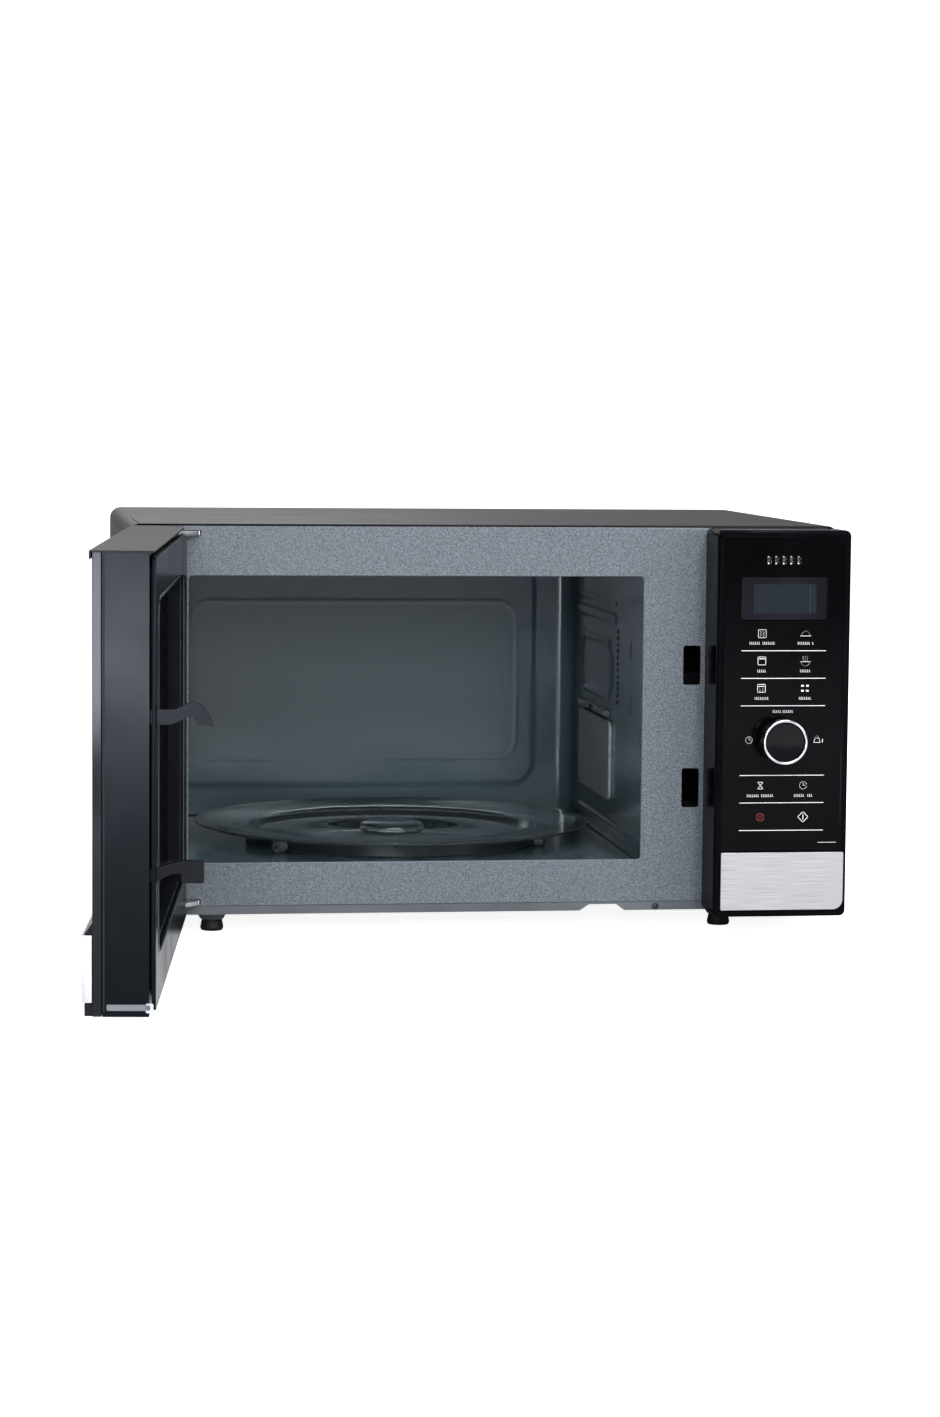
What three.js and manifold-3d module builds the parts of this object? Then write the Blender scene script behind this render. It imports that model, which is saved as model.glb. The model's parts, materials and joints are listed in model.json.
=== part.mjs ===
// Countertop microwave oven with a grill, door standing open.
// Millimetres, +Z up. Pieces are drawn with x = 0 at the middle of the case, y = 0 at the front of
// the control panel and z = 0 on the worktop; door pieces are drawn from the hinge axis with the door
// shut, x along the door, y towards the oven. The last lines centre the whole on the origin.
import * as THREE from "three";
import { mergeVertices } from "three/addons/utils/BufferGeometryUtils.js";
import Module from "manifold-3d";

const wasm = await Module();
wasm.setup();

// ---- Driving dimensions ----
const WIDTH = 488;
const HEIGHT = 279;
const DEPTH = 395;
const GAP = 0.3; // between pieces that touch
const CASE_BOTTOM = 13.5; // lower edge of the case above the worktop
const PANEL_DEPTH = 38.5; // the control panel and the shut door stand this far in front of the oven
const PANEL_WIDTH = 92.5;
const SPACER = 9; // keeps the rear of the case off the wall
const COVER_SHEET = 1;
const COVER_RADIUS = 8;
const STEEL = 0.8; // sheet of the cavity, face plate and rear panel
const BASE_LEVEL = 18.3; // underside of the base plate inside its front lip

const OPEN_LEFT_MARGIN = 39.7; // face plate left of the cavity opening
const OPEN_RIGHT_MARGIN = 42.7; // and between the opening and the control panel
const OPEN_BOTTOM = 48;
const OPEN_TOP_MARGIN = 34.3;
const FLOOR_LEVEL = 45;
const CAVITY_REAR_MARGIN = 41; // from the cavity's rear wall to the rear of the case

const TRAY_FORWARD = 6; // the turntable's axis in front of the cavity's middle
const TRAY_CLEARANCE = 4.3; // between the tray and the face plate behind the opening
const TRAY_GLASS = 3.7;
const WHEEL_RADIUS = 4.3;
const WHEEL_WIDTH = 7;
const WHEEL_PIN = 1.4;
const WHEEL_RING = 110; // radius on which the wheels run
const WHEEL_ANGLES = [218, 338, 98];
const COUPLER_RADIUS = 15;
const SHAFT_RADIUS = 3.5;

const HINGE_INSET = 19.4; // hinge axis from the case's left side
const HINGE_SETBACK = 19.8; // hinge axis in front of the face plate
const PIN_RADIUS = 3;
const DOOR_GAP = 1.5; // between the door's free end and the control panel
const DOOR_THICKNESS = 35.9;
const DOOR_SIDE_MARGIN = 1.2; // the shut door's hinge side from the case's left side
const DOOR_EDGE_RADIUS = 4.4;
const DOOR_SEAT = 0.9; // the shut door stays this clear of the face plate
const DOOR_TOP_MARGIN = 1.5;
const DOOR_OPEN = 95.9; // degrees the door stands open at rest
const DOOR_FRONT = 5.6; // thickness of the front panel
const DOOR_RIM = 32; // width of the frame round the window
const HANDLE_BOTTOM = 21.5;
const HANDLE_HEIGHT = 38.5;
const HANDLE_PROUD = 6.2;
const HANDLE_SHEET = 1.3;

const LATCH_HEIGHTS = [183, 98.2]; // middles of the two latch slots
const SLOT_HEIGHT = 27;
const SLOT_WIDTH = 12;
const SLOT_EDGE = 3.1; // from the slots to the control panel
const HOOK_THICKNESS = 5.5;
const HOOK_REACHES = [32, 27]; // beyond the door's inner face, upper and lower
const HOOK_DROPS = [3.7, 9.5]; // top of each hook under its slot's upper edge
const KEY_LIFT = 2.2;
const PLUNGER_RADIUS = 1.5;
const PLUNGER_TRAVEL = 2;

const KNOB_RADIUS = 15.3;
const KNOB_LENGTH = 20;
const KNOB_LEVEL = 135.1;
const TRIM_BOTTOM = 18.2;
const TRIM_HEIGHT = 39.6;
const SHEET_TOP = 271.8;
const DISPLAY_TOP_MARGIN = 33.4;
const DISPLAY_SIZE = [59, 28.8];

const FOOT_RADIUS = 8;
const FOOT_HEIGHT = 7.6;
const FOOT_INSETS = { left: 58, right: 76, front: 21.5, rear: 45 };
const FAN_RADIUS = 48;
const FAN_DROP = 74; // fan axis under the case's top
const FAN_SHAFT = 1.5;
const GUIDE_LEVEL = 104; // middle of the waveguide's mouth
const BAR_SIDES = 20;

// ---- Derived places ----
const half = WIDTH / 2;
const faceY = PANEL_DEPTH;
const caseRear = DEPTH - SPACER;
const panelLeft = half - PANEL_WIDTH;
const inner = half - COVER_SHEET - 0.4; // half width inside the cover
const innerTop = HEIGHT - COVER_SHEET - 0.4;
const baseTop = BASE_LEVEL + COVER_SHEET;
const open = {
  left: OPEN_LEFT_MARGIN - half,
  right: panelLeft - OPEN_RIGHT_MARGIN,
  bottom: OPEN_BOTTOM,
  top: HEIGHT - OPEN_TOP_MARGIN,
};
const wall = { left: open.left - 0.8, right: open.right + 0.8 }; // inside faces of the cavity
const ceiling = open.top + 1.4;
const cavityRear = caseRear - CAVITY_REAR_MARGIN;
const plateBack = faceY + STEEL;
const wrapStart = plateBack + GAP;
const traySpot = [(wall.left + wall.right) / 2, (plateBack + cavityRear) / 2 - TRAY_FORWARD];
const trayRoom = Math.min(wall.right - wall.left, cavityRear - plateBack - 2 * TRAY_FORWARD);
const trayRadius = trayRoom / 2 - TRAY_CLEARANCE;
const hinge = [HINGE_INSET - half, faceY - HINGE_SETBACK];
const doorLength = panelLeft - DOOR_GAP - hinge[0];
const doorHeel = DOOR_SIDE_MARGIN - HINGE_INSET;
const doorInner = HINGE_SETBACK - DOOR_SEAT;
const doorOuter = doorInner - DOOR_THICKNESS;
const doorTop = HEIGHT - DOOR_TOP_MARGIN;
const slotRight = panelLeft - SLOT_EDGE;
const slotLeft = slotRight - SLOT_WIDTH;
const hookX = slotLeft + 1.6; // left face of the hooks with the door shut
const pocketBack = faceY - DOOR_SEAT + Math.max(...HOOK_REACHES) + 3;
const compartment = wall.right + STEEL; // left side of the space for the works
const panelMiddle = panelLeft + 46.2;
const fanX = half - 64;
const fanLevel = HEIGHT - FAN_DROP;
const waveguideY = faceY + 189;
const lampY = faceY + 103;
const rearSheet = caseRear - COVER_SHEET - 2 * GAP - STEEL; // front of the rear panel, less a gap

// ---- Materials ----
const finish = (color, roughness, metalness = 0) =>
  new THREE.MeshStandardMaterial({ color, roughness, metalness });
const enamel = finish(0x5a6268, 0.5, 0.3);
const coverPaint = finish(0x2b2928, 0.5, 0.2);
const zinc = finish(0xa9adb0, 0.4, 0.9);
const blackGloss = finish(0x08090b, 0.12);
const blackPlastic = finish(0x141517, 0.5);
const brushed = finish(0xb9b7ba, 0.35, 0.9);
const clearGlass = finish(0x9fb0b4, 0.05);
const rubber = finish(0x0c0c0c, 0.9);
const copper = finish(0x9a4b25, 0.4, 0.7);
const whitePlastic = finish(0xd8d6cc, 0.5);
const boardGreen = finish(0x2d5a36, 0.6);
const mica = finish(0x8d9190, 0.7);
const redPlastic = finish(0xb03020, 0.5);
const darkSteel = finish(0x55504c, 0.5, 0.6);
const heaterTube = finish(0x3a3a3a, 0.6, 0.6);
const smokedPlastic = finish(0x2e2c36, 0.1);
const tealDisplay = finish(0x4c6a6a, 0.4);
const chrome = finish(0xd8d8dc, 0.15, 1);
const darkFilm = finish(0x0b0d10, 0.1);
const keyPlastic = finish(0x2a2c30, 0.4);

// ---- Solids ----
function toSolid(geometry) {
  const bare = geometry.clone();
  bare.deleteAttribute("uv");
  bare.deleteAttribute("normal");
  const merged = mergeVertices(bare, 1e-4);
  const corners = [];
  const index = merged.index.array;
  for (let i = 0; i < index.length; i += 3) {
    const [a, b, c] = [index[i], index[i + 1], index[i + 2]];
    if (a !== b && b !== c && c !== a) corners.push(a, b, c);
  }
  return new wasm.Manifold(
    new wasm.Mesh({
      numProp: 3,
      vertProperties: Float32Array.from(merged.attributes.position.array),
      triVerts: Uint32Array.from(corners),
    }),
  );
}

function block([x0, x1], [y0, y1], [z0, z1]) {
  const box = new THREE.BoxGeometry(x1 - x0, y1 - y0, z1 - z0);
  return toSolid(box.translate((x0 + x1) / 2, (y0 + y1) / 2, (z0 + z1) / 2));
}

const around = (middle, size) => [middle - size / 2, middle + size / 2];

const [alongX, alongY, alongZ] = [[1, 0, 0], [0, 1, 0], [0, 0, 1]].map((axis) => new THREE.Vector3(...axis));
const backwards = alongY.clone().negate();
const turns = {
  // shape (a, b) laid in a plane and pulled along the third axis
  xy: new THREE.Matrix4(),
  xz: new THREE.Matrix4().makeBasis(alongX, alongZ, backwards),
  yz: new THREE.Matrix4().makeBasis(alongY, alongZ, alongX),
};

function prism(plane, shape, from, to, curveSegments = 6) {
  const geometry = new THREE.ExtrudeGeometry(shape, { depth: to - from, bevelEnabled: false, curveSegments });
  geometry.applyMatrix4(turns[plane]);
  if (plane === "xy") geometry.translate(0, 0, from);
  if (plane === "xz") geometry.translate(0, to, 0);
  if (plane === "yz") geometry.translate(from, 0, 0);
  return toSolid(geometry);
}

const polygon = (points) => new THREE.Shape(points.map(([a, b]) => new THREE.Vector2(a, b)));

function rounded([a0, a1], [b0, b1], radii) {
  const [r0, r1, r2, r3] = typeof radii === "number" ? [radii, radii, radii, radii] : radii;
  const shape = new THREE.Shape();
  shape.moveTo(a0 + r0, b0);
  shape.lineTo(a1 - r1, b0);
  if (r1) shape.absarc(a1 - r1, b0 + r1, r1, -Math.PI / 2, 0);
  shape.lineTo(a1, b1 - r2);
  if (r2) shape.absarc(a1 - r2, b1 - r2, r2, 0, Math.PI / 2);
  shape.lineTo(a0 + r3, b1);
  if (r3) shape.absarc(a0 + r3, b1 - r3, r3, Math.PI / 2, Math.PI);
  shape.lineTo(a0, b0 + r0);
  if (r0) shape.absarc(a0 + r0, b0 + r0, r0, Math.PI, 1.5 * Math.PI);
  return shape;
}

function circle([a, b], radius) {
  const shape = new THREE.Shape();
  shape.absarc(a, b, radius, 0, 2 * Math.PI);
  return shape;
}

// a round bar; the plane is the one its circle lies in
const bar = (plane, centre, radius, from, to, sides = BAR_SIDES) =>
  prism(plane, circle(centre, radius), from, to, sides / 2);

// [radius, z] profile turned round the vertical axis
function turned(profile, sides) {
  const points = profile.map(([r, z]) => new THREE.Vector2(r, z));
  return toSolid(new THREE.LatheGeometry(points, sides).rotateX(Math.PI / 2));
}

const join = (...solids) => solids.flat().reduce((whole, next) => whole.add(next));
const cut = (whole, ...tools) => tools.flat().reduce((rest, tool) => rest.subtract(tool), whole);

const oven = new THREE.Group();
const body = new THREE.Group();
const door = new THREE.Group();
door.position.set(hinge[0], hinge[1], 0);
door.rotation.z = -THREE.MathUtils.degToRad(DOOR_OPEN);
oven.add(body, door);

function place(group, name, solid, material) {
  const { vertProperties, triVerts } = solid.getMesh();
  const geometry = new THREE.BufferGeometry();
  geometry.setAttribute("position", new THREE.Float32BufferAttribute(vertProperties, 3));
  geometry.setIndex(Array.from(triVerts));
  geometry.computeVertexNormals();
  const mesh = new THREE.Mesh(geometry, material);
  mesh.name = name;
  group.add(mesh);
}

// ---- Case ----
function outerCover() {
  const hood = (inset, bottom) =>
    rounded(
      [inset - half, half - inset],
      [bottom, HEIGHT - inset],
      [0, 0, COVER_RADIUS - inset, COVER_RADIUS - inset],
    );
  const skin = prism("xz", hood(0, CASE_BOTTOM), faceY, caseRear, 5);
  const hollow = prism("xz", hood(COVER_SHEET, CASE_BOTTOM - 1), faceY - 1, caseRear - COVER_SHEET, 5);
  const rearFlange = 9;
  const rearHole = block(
    [rearFlange - half, half - rearFlange],
    [caseRear - 5, caseRear + 1],
    [CASE_BOTTOM - 1, HEIGHT - rearFlange],
  );
  return cut(skin, hollow, rearHole);
}

const glandSpot = [half - 40, 44];
const GLAND_RADIUS = 6.6;

function rearPanel() {
  const back = caseRear - COVER_SHEET - GAP;
  const sheet = block([-inner, inner], [back - STEEL, back], [CASE_BOTTOM, innerTop - 6]);
  const through = [back - 5, back + 5];
  const slotWidth = 5;
  const rowPitch = 10;
  const columnPitch = 12;
  const slots = [];
  for (let row = -4; row <= 4; row += 1) {
    const chord = Math.sqrt(FAN_RADIUS ** 2 - (row * rowPitch) ** 2);
    slots.push(block(around(fanX, 2 * chord), through, around(fanLevel + row * rowPitch, slotWidth)));
  }
  for (let column = 0; column < 14; column += 1) {
    const x = wall.left + 40 + column * columnPitch;
    slots.push(block(around(x, slotWidth), through, [HEIGHT - 70, HEIGHT - 34]));
  }
  return cut(sheet, slots, bar("xz", glandSpot, GLAND_RADIUS + 0.4, ...through, 16));
}

function basePlate() {
  const floor = block([-inner, inner], [faceY, rearSheet], [BASE_LEVEL, baseTop]);
  const lip = block([-inner, inner], [faceY, faceY + COVER_SHEET], [CASE_BOTTOM, baseTop]);
  const notchLeft = panelLeft - 87;
  const notchTop = CASE_BOTTOM + 4.3;
  const notchShape = polygon([
    [notchLeft, CASE_BOTTOM - 1],
    [notchLeft + 34, CASE_BOTTOM - 1],
    [notchLeft + 27, notchTop],
    [notchLeft + 8, notchTop],
  ]);
  const notch = prism("xz", notchShape, faceY - 1, faceY + 3);
  const bossFoot = FOOT_HEIGHT + GAP;
  const bossTop = BASE_LEVEL + 0.3;
  const boss = turned([[0, bossFoot], [FOOT_RADIUS, bossFoot], [FOOT_RADIUS + 6, bossTop], [0, bossTop]], 20);
  const bosses = footSpots.map(([x, y]) => boss.translate([x, y, 0]));
  const ventPitch = 9;
  const vents = [];
  for (let row = 0; row < 8; row += 1) {
    const y = faceY + 22 + row * ventPitch;
    vents.push(block([panelLeft + 12, half - 14], around(y, 4), [BASE_LEVEL - 2, baseTop + 2]));
  }
  return cut(join(floor, lip, bosses), notch, vents);
}

const footSpots = [
  [FOOT_INSETS.left - half, faceY + FOOT_INSETS.front],
  [half - FOOT_INSETS.right, faceY + FOOT_INSETS.front],
  [FOOT_INSETS.left - half, caseRear - FOOT_INSETS.rear],
  [half - FOOT_INSETS.right, caseRear - FOOT_INSETS.rear],
];
const footProfile = [
  [0, 0],
  [FOOT_RADIUS - 0.8, 0],
  [FOOT_RADIUS, 2],
  [FOOT_RADIUS - 1.2, FOOT_HEIGHT],
  [0, FOOT_HEIGHT],
];
const foot = turned(footProfile, 16);

function rearSpacer(x) {
  const level = HEIGHT - 24;
  const base = 3; // thickness of the pad on the case
  return join(
    block(around(x, 24), [caseRear + GAP, caseRear + base], around(level, 12)),
    block(around(x, 14), [caseRear + base - 0.2, DEPTH], around(level, 8)),
  );
}

function cordGland() {
  const back = caseRear - COVER_SHEET - GAP;
  const sleeve = bar("xz", glandSpot, GLAND_RADIUS, back - STEEL - 6, back + 5, 16);
  const flange = bar("xz", glandSpot, GLAND_RADIUS + 2.4, back + GAP, back + 5, 16);
  return cut(join(sleeve, flange), bar("xz", glandSpot, GLAND_RADIUS - 2.6, back - 20, back + 20, 16));
}

place(body, "outer_cover", outerCover(), coverPaint);
place(body, "rear_panel", rearPanel(), zinc);
place(body, "base_plate", basePlate(), zinc);
["front_left", "front_right", "rear_left", "rear_right"].forEach((spot, i) =>
  place(body, `foot_${spot}`, foot.translate([...footSpots[i], 0]), rubber),
);
place(body, "rear_spacer_left", rearSpacer(60 - half), blackPlastic);
place(body, "rear_spacer_right", rearSpacer(half - 90), blackPlastic);
place(body, "cord_gland", cordGland(), blackPlastic);

// ---- Oven cavity ----
const ARM_HEEL = 6; // hinge arm from its axis to the left and to the right
const ARM_LENGTH = 28.6;
const bracketSlots = [
  { plate: [doorTop - 6.2, doorTop - 3.2], pin: -1 },
  { plate: [baseTop + 1.4, baseTop + 4.4], pin: 1 },
];

function facePlate() {
  const bottom = baseTop + GAP;
  const corner = COVER_RADIUS - COVER_SHEET;
  const outline = rounded([-inner, inner], [bottom, innerTop], [0, 0, corner, corner]);
  const inside = corner - STEEL;
  const behind = rounded(
    [STEEL - inner, inner - STEEL],
    [bottom - 1, innerTop - STEEL],
    [0, 0, inside, inside],
  );
  const sheet = prism("xz", outline, faceY, plateBack, 4);
  const rimDepth = 9;
  const rim = cut(
    prism("xz", outline, faceY, faceY + rimDepth, 4),
    prism("xz", behind, faceY - 1, faceY + rimDepth + 1, 4),
    block([-half, half], [faceY - 1, faceY + rimDepth + 1], [bottom - 1, bottom + 30]),
  );
  const through = [faceY - 5, faceY + 5];
  const mouth = prism("xz", rounded([open.left, open.right], [open.bottom, open.top], 2), ...through, 3);
  const latchSlots = LATCH_HEIGHTS.map((z) =>
    prism("xz", rounded([slotLeft, slotRight], around(z, SLOT_HEIGHT), 1.5), ...through, 2),
  );
  const hingeSlots = bracketSlots.map(({ plate }) =>
    block([hinge[0] - ARM_HEEL - 3, hinge[0] + ARM_LENGTH + 1], through, [plate[0] - GAP, plate[1] + GAP]),
  );
  const wiring = block([panelLeft + 12, half - 14], through, [bottom + 16, innerTop - 16]);
  return cut(join(sheet, rim), mouth, latchSlots, hingeSlots, wiring);
}

// pressed ridges stand 1.5 mm proud of the sheet on the cavity's side
const RIDGE = 1.5;
const wallOutside = [wall.left - STEEL, wall.right + STEEL];

function cavityWrapper() {
  const outside = block(wallOutside, [wrapStart, cavityRear - GAP], [FLOOR_LEVEL + GAP, ceiling + STEEL]);
  const inside = block([wall.left, wall.right], [faceY - 1, cavityRear + 1], [FLOOR_LEVEL - 1, ceiling]);
  const shell = cut(outside, inside);
  const rightSide = [wall.right - RIDGE, wall.right + 0.2];
  const leftSide = [wall.left - 0.2, wall.left + RIDGE];
  const railY = [faceY + 48, cavityRear - 8];
  const rail = [FLOOR_LEVEL + 8.5, FLOOR_LEVEL + 12.5];
  const pressing = GUIDE_LEVEL + 65; // middle of the eight-sided ridge
  const ridges = [
    block(rightSide, [faceY + 110, cavityRear - 35], [ceiling - 40, ceiling - 37]),
    block(rightSide, railY, rail),
    block(leftSide, railY, rail),
    cut(
      prism("yz", octagon(waveguideY, pressing, 66, 22, 12), ...rightSide),
      prism("yz", octagon(waveguideY, pressing, 60, 18, 10), rightSide[0] - 1, rightSide[1] + 1),
    ),
  ];
  const throughSide = [wall.right - 1, wall.right + 2];
  const holes = [block(throughSide, around(waveguideY, 100), around(GUIDE_LEVEL, 44))];
  const lampHolePitch = 4.6;
  for (let z = GUIDE_LEVEL + 44.5; z < ceiling - 45.5; z += lampHolePitch) {
    holes.push(block(throughSide, around(lampY, 1.6), around(z, 3)));
  }
  const grillPitch = 18;
  for (let i = -4; i <= 4; i += 1) {
    const x = around(traySpot[0] + i * grillPitch, grillPitch / 2);
    holes.push(block(x, around(traySpot[1], 130), [ceiling - 1, ceiling + 2]));
  }
  return cut(join(shell, ridges), holes);
}

function octagon(y, z, halfLength, halfHeight, corner) {
  return polygon([
    [y - halfLength + corner, z - halfHeight],
    [y + halfLength - corner, z - halfHeight],
    [y + halfLength, z - halfHeight + corner],
    [y + halfLength, z + halfHeight - corner],
    [y + halfLength - corner, z + halfHeight],
    [y - halfLength + corner, z + halfHeight],
    [y - halfLength, z + halfHeight - corner],
    [y - halfLength, z - halfHeight + corner],
  ]);
}

function cavityFloor() {
  const y = [wrapStart, cavityRear - GAP];
  const sheet = block(wallOutside, y, [FLOOR_LEVEL - STEEL, FLOOR_LEVEL]);
  return cut(sheet, bar("xy", traySpot, SHAFT_RADIUS + 3, FLOOR_LEVEL - 5, FLOOR_LEVEL + 5));
}

function cavityBack() {
  const z = [FLOOR_LEVEL - STEEL, ceiling + STEEL];
  const sheet = block(wallOutside, [cavityRear, cavityRear + STEEL], z);
  const [front, back] = [cavityRear - RIDGE, cavityRear + 0.2];
  const ridgeWidth = 3;
  const ridge = ([x0, x1], [z0, z1], radius) =>
    cut(
      prism("xz", rounded([x0, x1], [z0, z1], radius), front, back, 4),
      prism(
        "xz",
        rounded([x0 + ridgeWidth, x1 - ridgeWidth], [z0 + ridgeWidth, z1 - ridgeWidth], radius - ridgeWidth),
        front - 1,
        back + 1,
        4,
      ),
    );
  return join(
    sheet,
    ridge([wall.left + 21, wall.right - 43], [FLOOR_LEVEL + 43, ceiling - 37], 15),
    ridge([wall.left + 5, wall.right - 27], [FLOOR_LEVEL + 21, ceiling - 4], 20),
  );
}

function waveguideCover() {
  const outline = rounded(around(waveguideY, 130), around(GUIDE_LEVEL, 57), 6);
  return prism("yz", outline, wall.right - RIDGE - 1.2, wall.right - GAP, 3);
}

function waveguideClip() {
  const x = [wall.right - 5, wall.right - GAP];
  return block(x, around(waveguideY, 112), [GUIDE_LEVEL + 32, GUIDE_LEVEL + 36]);
}

place(body, "oven_face_plate", facePlate(), enamel);
place(body, "cavity_wrapper", cavityWrapper(), enamel);
place(body, "cavity_floor", cavityFloor(), enamel);
place(body, "cavity_back", cavityBack(), enamel);
place(body, "waveguide_cover", waveguideCover(), mica);
place(body, "waveguide_clip", waveguideClip(), enamel);

// ---- Grill and lamp ----
function grillReflector() {
  const x = around(traySpot[0], 190);
  const y = around(traySpot[1], 150);
  const z = [ceiling + STEEL + GAP, innerTop - 3];
  return cut(
    block(x, y, z),
    block([x[0] + STEEL, x[1] - STEEL], [y[0] + STEEL, y[1] - STEEL], [z[0] - 1, z[1] - STEEL]),
  );
}

// a tube bent to and fro: runs from front to rear, joined by short bends
function grillHeater() {
  const level = (ceiling + innerTop) / 2;
  const radius = 3;
  const pitch = 28;
  const reach = 48;
  const bars = [];
  for (let i = -3; i <= 3; i += 1) {
    const x = traySpot[0] + i * pitch;
    const tail = Math.abs(i) === 3 ? 12 : 0; // the two end runs lead out to the terminals
    const end = i < 0 ? 1 : -1;
    const from = traySpot[1] - reach - radius - (end < 0 ? tail : 0);
    const to = traySpot[1] + reach + radius + (end > 0 ? tail : 0);
    bars.push(bar("xz", [x, level], radius, from, to, 8));
    if (i < 3) {
      const side = i % 2 === 0 ? 1 : -1;
      bars.push(bar("yz", [traySpot[1] + side * reach, level], radius, x, x + pitch, 8));
    }
  }
  return join(bars);
}

const LAMP_LEVEL = 164.7; // top of the lamp's socket

function ovenLamp() {
  const bulb = [[0, 0], [7, 0], [7, 6], [10, 12], [10, 30], [6, 37], [0, 39]];
  return turned(bulb, 16).translate([compartment + 14, lampY, LAMP_LEVEL + GAP]);
}

function lampHolder() {
  return join(
    block([compartment + GAP, compartment + 1.6], around(lampY, 26), [LAMP_LEVEL - 18.7, LAMP_LEVEL]),
    block([compartment + 1.4, compartment + 25], around(lampY, 22), [LAMP_LEVEL - 16.7, LAMP_LEVEL]),
  );
}

place(body, "grill_reflector", grillReflector(), zinc);
place(body, "grill_heater", grillHeater(), heaterTube);
place(body, "oven_lamp", ovenLamp(), clearGlass);
place(body, "lamp_holder", lampHolder(), whitePlastic);

// ---- Works beside the cavity ----
const guideDepth = 40;
const antennaSpot = [waveguideY, GUIDE_LEVEL];

function waveguide() {
  const x = [compartment + GAP, compartment + guideDepth];
  const shell = block(x, around(waveguideY, 124), around(GUIDE_LEVEL, 56));
  const hollow = block([x[0] - 1, x[1] - STEEL], around(waveguideY, 122), around(GUIDE_LEVEL, 54));
  return cut(shell, hollow, bar("yz", antennaSpot, 11, x[1] - 5, x[1] + 5, 20));
}

function magnetron() {
  const start = compartment + guideDepth + GAP;
  const plate = block([start, start + 1.6], around(waveguideY, 80), around(GUIDE_LEVEL, 92));
  const antenna = bar("yz", antennaSpot, 7.5, start - 24, start + 1, 16);
  const finPitch = 5;
  const fins = [];
  for (let i = 0; i < 9; i += 1) {
    const x = start + 6 + i * finPitch;
    fins.push(block([x, x + 1.2], around(waveguideY, 60), around(GUIDE_LEVEL, 84)));
  }
  const core = block([start + 1, start + 54], around(waveguideY, 40), around(GUIDE_LEVEL, 40));
  const yoke = cut(
    block([start + 1, start + 54], around(waveguideY, 70), around(GUIDE_LEVEL, 88)),
    block([start + 2.2, start + 52.8], around(waveguideY, 80), around(GUIDE_LEVEL, 85.6)),
  );
  const filterBox = block([start + 53, start + 78], around(waveguideY, 46), around(GUIDE_LEVEL, 62));
  return join(plate, antenna, core, yoke, fins, filterBox);
}

const transformer = { x: half - 49, y: faceY + 105, level: baseTop + GAP };

function transformerCore() {
  const { x, y, level } = transformer;
  const foot = block(around(x, 86), around(y, 62), [level, level + 4]);
  const core = block(around(x, 76), around(y, 52), [level + 3, level + 64]);
  const windows = [-1, 1].map((side) =>
    block(around(x + side * 19.5, 13), around(y, 80), [level + 16, level + 52]),
  );
  return cut(join(foot, core), windows);
}

function transformerWindings() {
  const { x, y, level } = transformer;
  const window = [level + 16.4, level + 51.6];
  return cut(
    prism("xy", rounded(around(x, 51.2), around(y, 76), 6), ...window, 3),
    block(around(x, 26.8), around(y, 52.8), [window[0] - 1, window[1] + 1]),
  );
}

function capacitor() {
  const x = half - 55;
  const y = [caseRear - 110, caseRear - 30];
  const can = prism("xz", rounded(around(x, 50), [baseTop + GAP, baseTop + 32], 15), ...y, 5);
  const terminals = [-10, 10].map((offset) =>
    block(around(x + offset, 5), [y[0] - 8, y[0] + 1], around(baseTop + 18, 2)),
  );
  return join(can, terminals);
}

const shroudDepth = 34;
const fanHub = [fanX, fanLevel];
const motorBack = rearSheet - shroudDepth - GAP;

function fanShroud() {
  const front = rearSheet - shroudDepth;
  const flange = block(around(fanX, 112), [rearSheet - 2, rearSheet], around(fanLevel, 112));
  const tube = bar("xz", fanHub, FAN_RADIUS + 6, front, rearSheet - 1, 32);
  const bore = bar("xz", fanHub, FAN_RADIUS + 3.5, front - 10, rearSheet + 5, 32);
  const spokes = [front, front + 3];
  const arms = [
    block(around(fanX, 2 * FAN_RADIUS + 8), spokes, around(fanLevel, 8)),
    block(around(fanX, 8), spokes, around(fanLevel, 2 * FAN_RADIUS + 8)),
    bar("xz", fanHub, 16, ...spokes),
  ];
  const shaftHole = bar("xz", fanHub, FAN_SHAFT + 2.5, front - 10, front + 10, 16);
  return cut(join(cut(join(flange, tube), bore), arms), shaftHole);
}

function fanMotor() {
  const stack = block(around(fanX, 48), [motorBack - 14, motorBack], around(fanLevel - 8, 60));
  const coil = block(around(fanX, 26), [motorBack - 20, motorBack], around(fanLevel - 26, 16));
  const bore = bar("xz", fanHub, FAN_SHAFT + GAP, motorBack - 12, motorBack + 5, 12);
  return cut(join(stack, coil), bore);
}

function fanBlade() {
  const middle = motorBack + 20;
  const hubRadius = 12;
  const bladeLength = FAN_RADIUS - 8;
  const count = 7;
  const blades = [];
  for (let i = 0; i < count; i += 1) {
    const blade = new THREE.BoxGeometry(1.4, 20, bladeLength);
    blade.translate(0, 0, bladeLength / 2 + 7).rotateZ(0.7).rotateY((i * 2 * Math.PI) / count);
    blades.push(toSolid(blade).translate([fanX, middle, fanLevel]));
  }
  const boss = bar("xz", fanHub, hubRadius, middle - 10, middle + 9);
  const shaft = bar("xz", fanHub, FAN_SHAFT, motorBack - 10, middle, 12);
  return join(boss, shaft, blades);
}

function noiseFilterBoard() {
  const x = [panelLeft + 2, half - 66];
  const z = [66, fanLevel - 67];
  const board = block(x, [rearSheet - 8, rearSheet - 6.4], z);
  const posts = [z[0] + 6, z[1] - 6].map((level) =>
    block(around((x[0] + x[1]) / 2, 6), [rearSheet - 7, rearSheet], around(level, 6)),
  );
  const parts = [
    bar("xz", [x[0] + 8, z[1] - 18], 7, rearSheet - 26, rearSheet - 7, 14),
    block([x[0] + 2, x[0] + 22], [rearSheet - 20, rearSheet - 7], [z[0] + 8, z[0] + 34]),
  ];
  return join(board, posts, parts);
}

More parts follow.
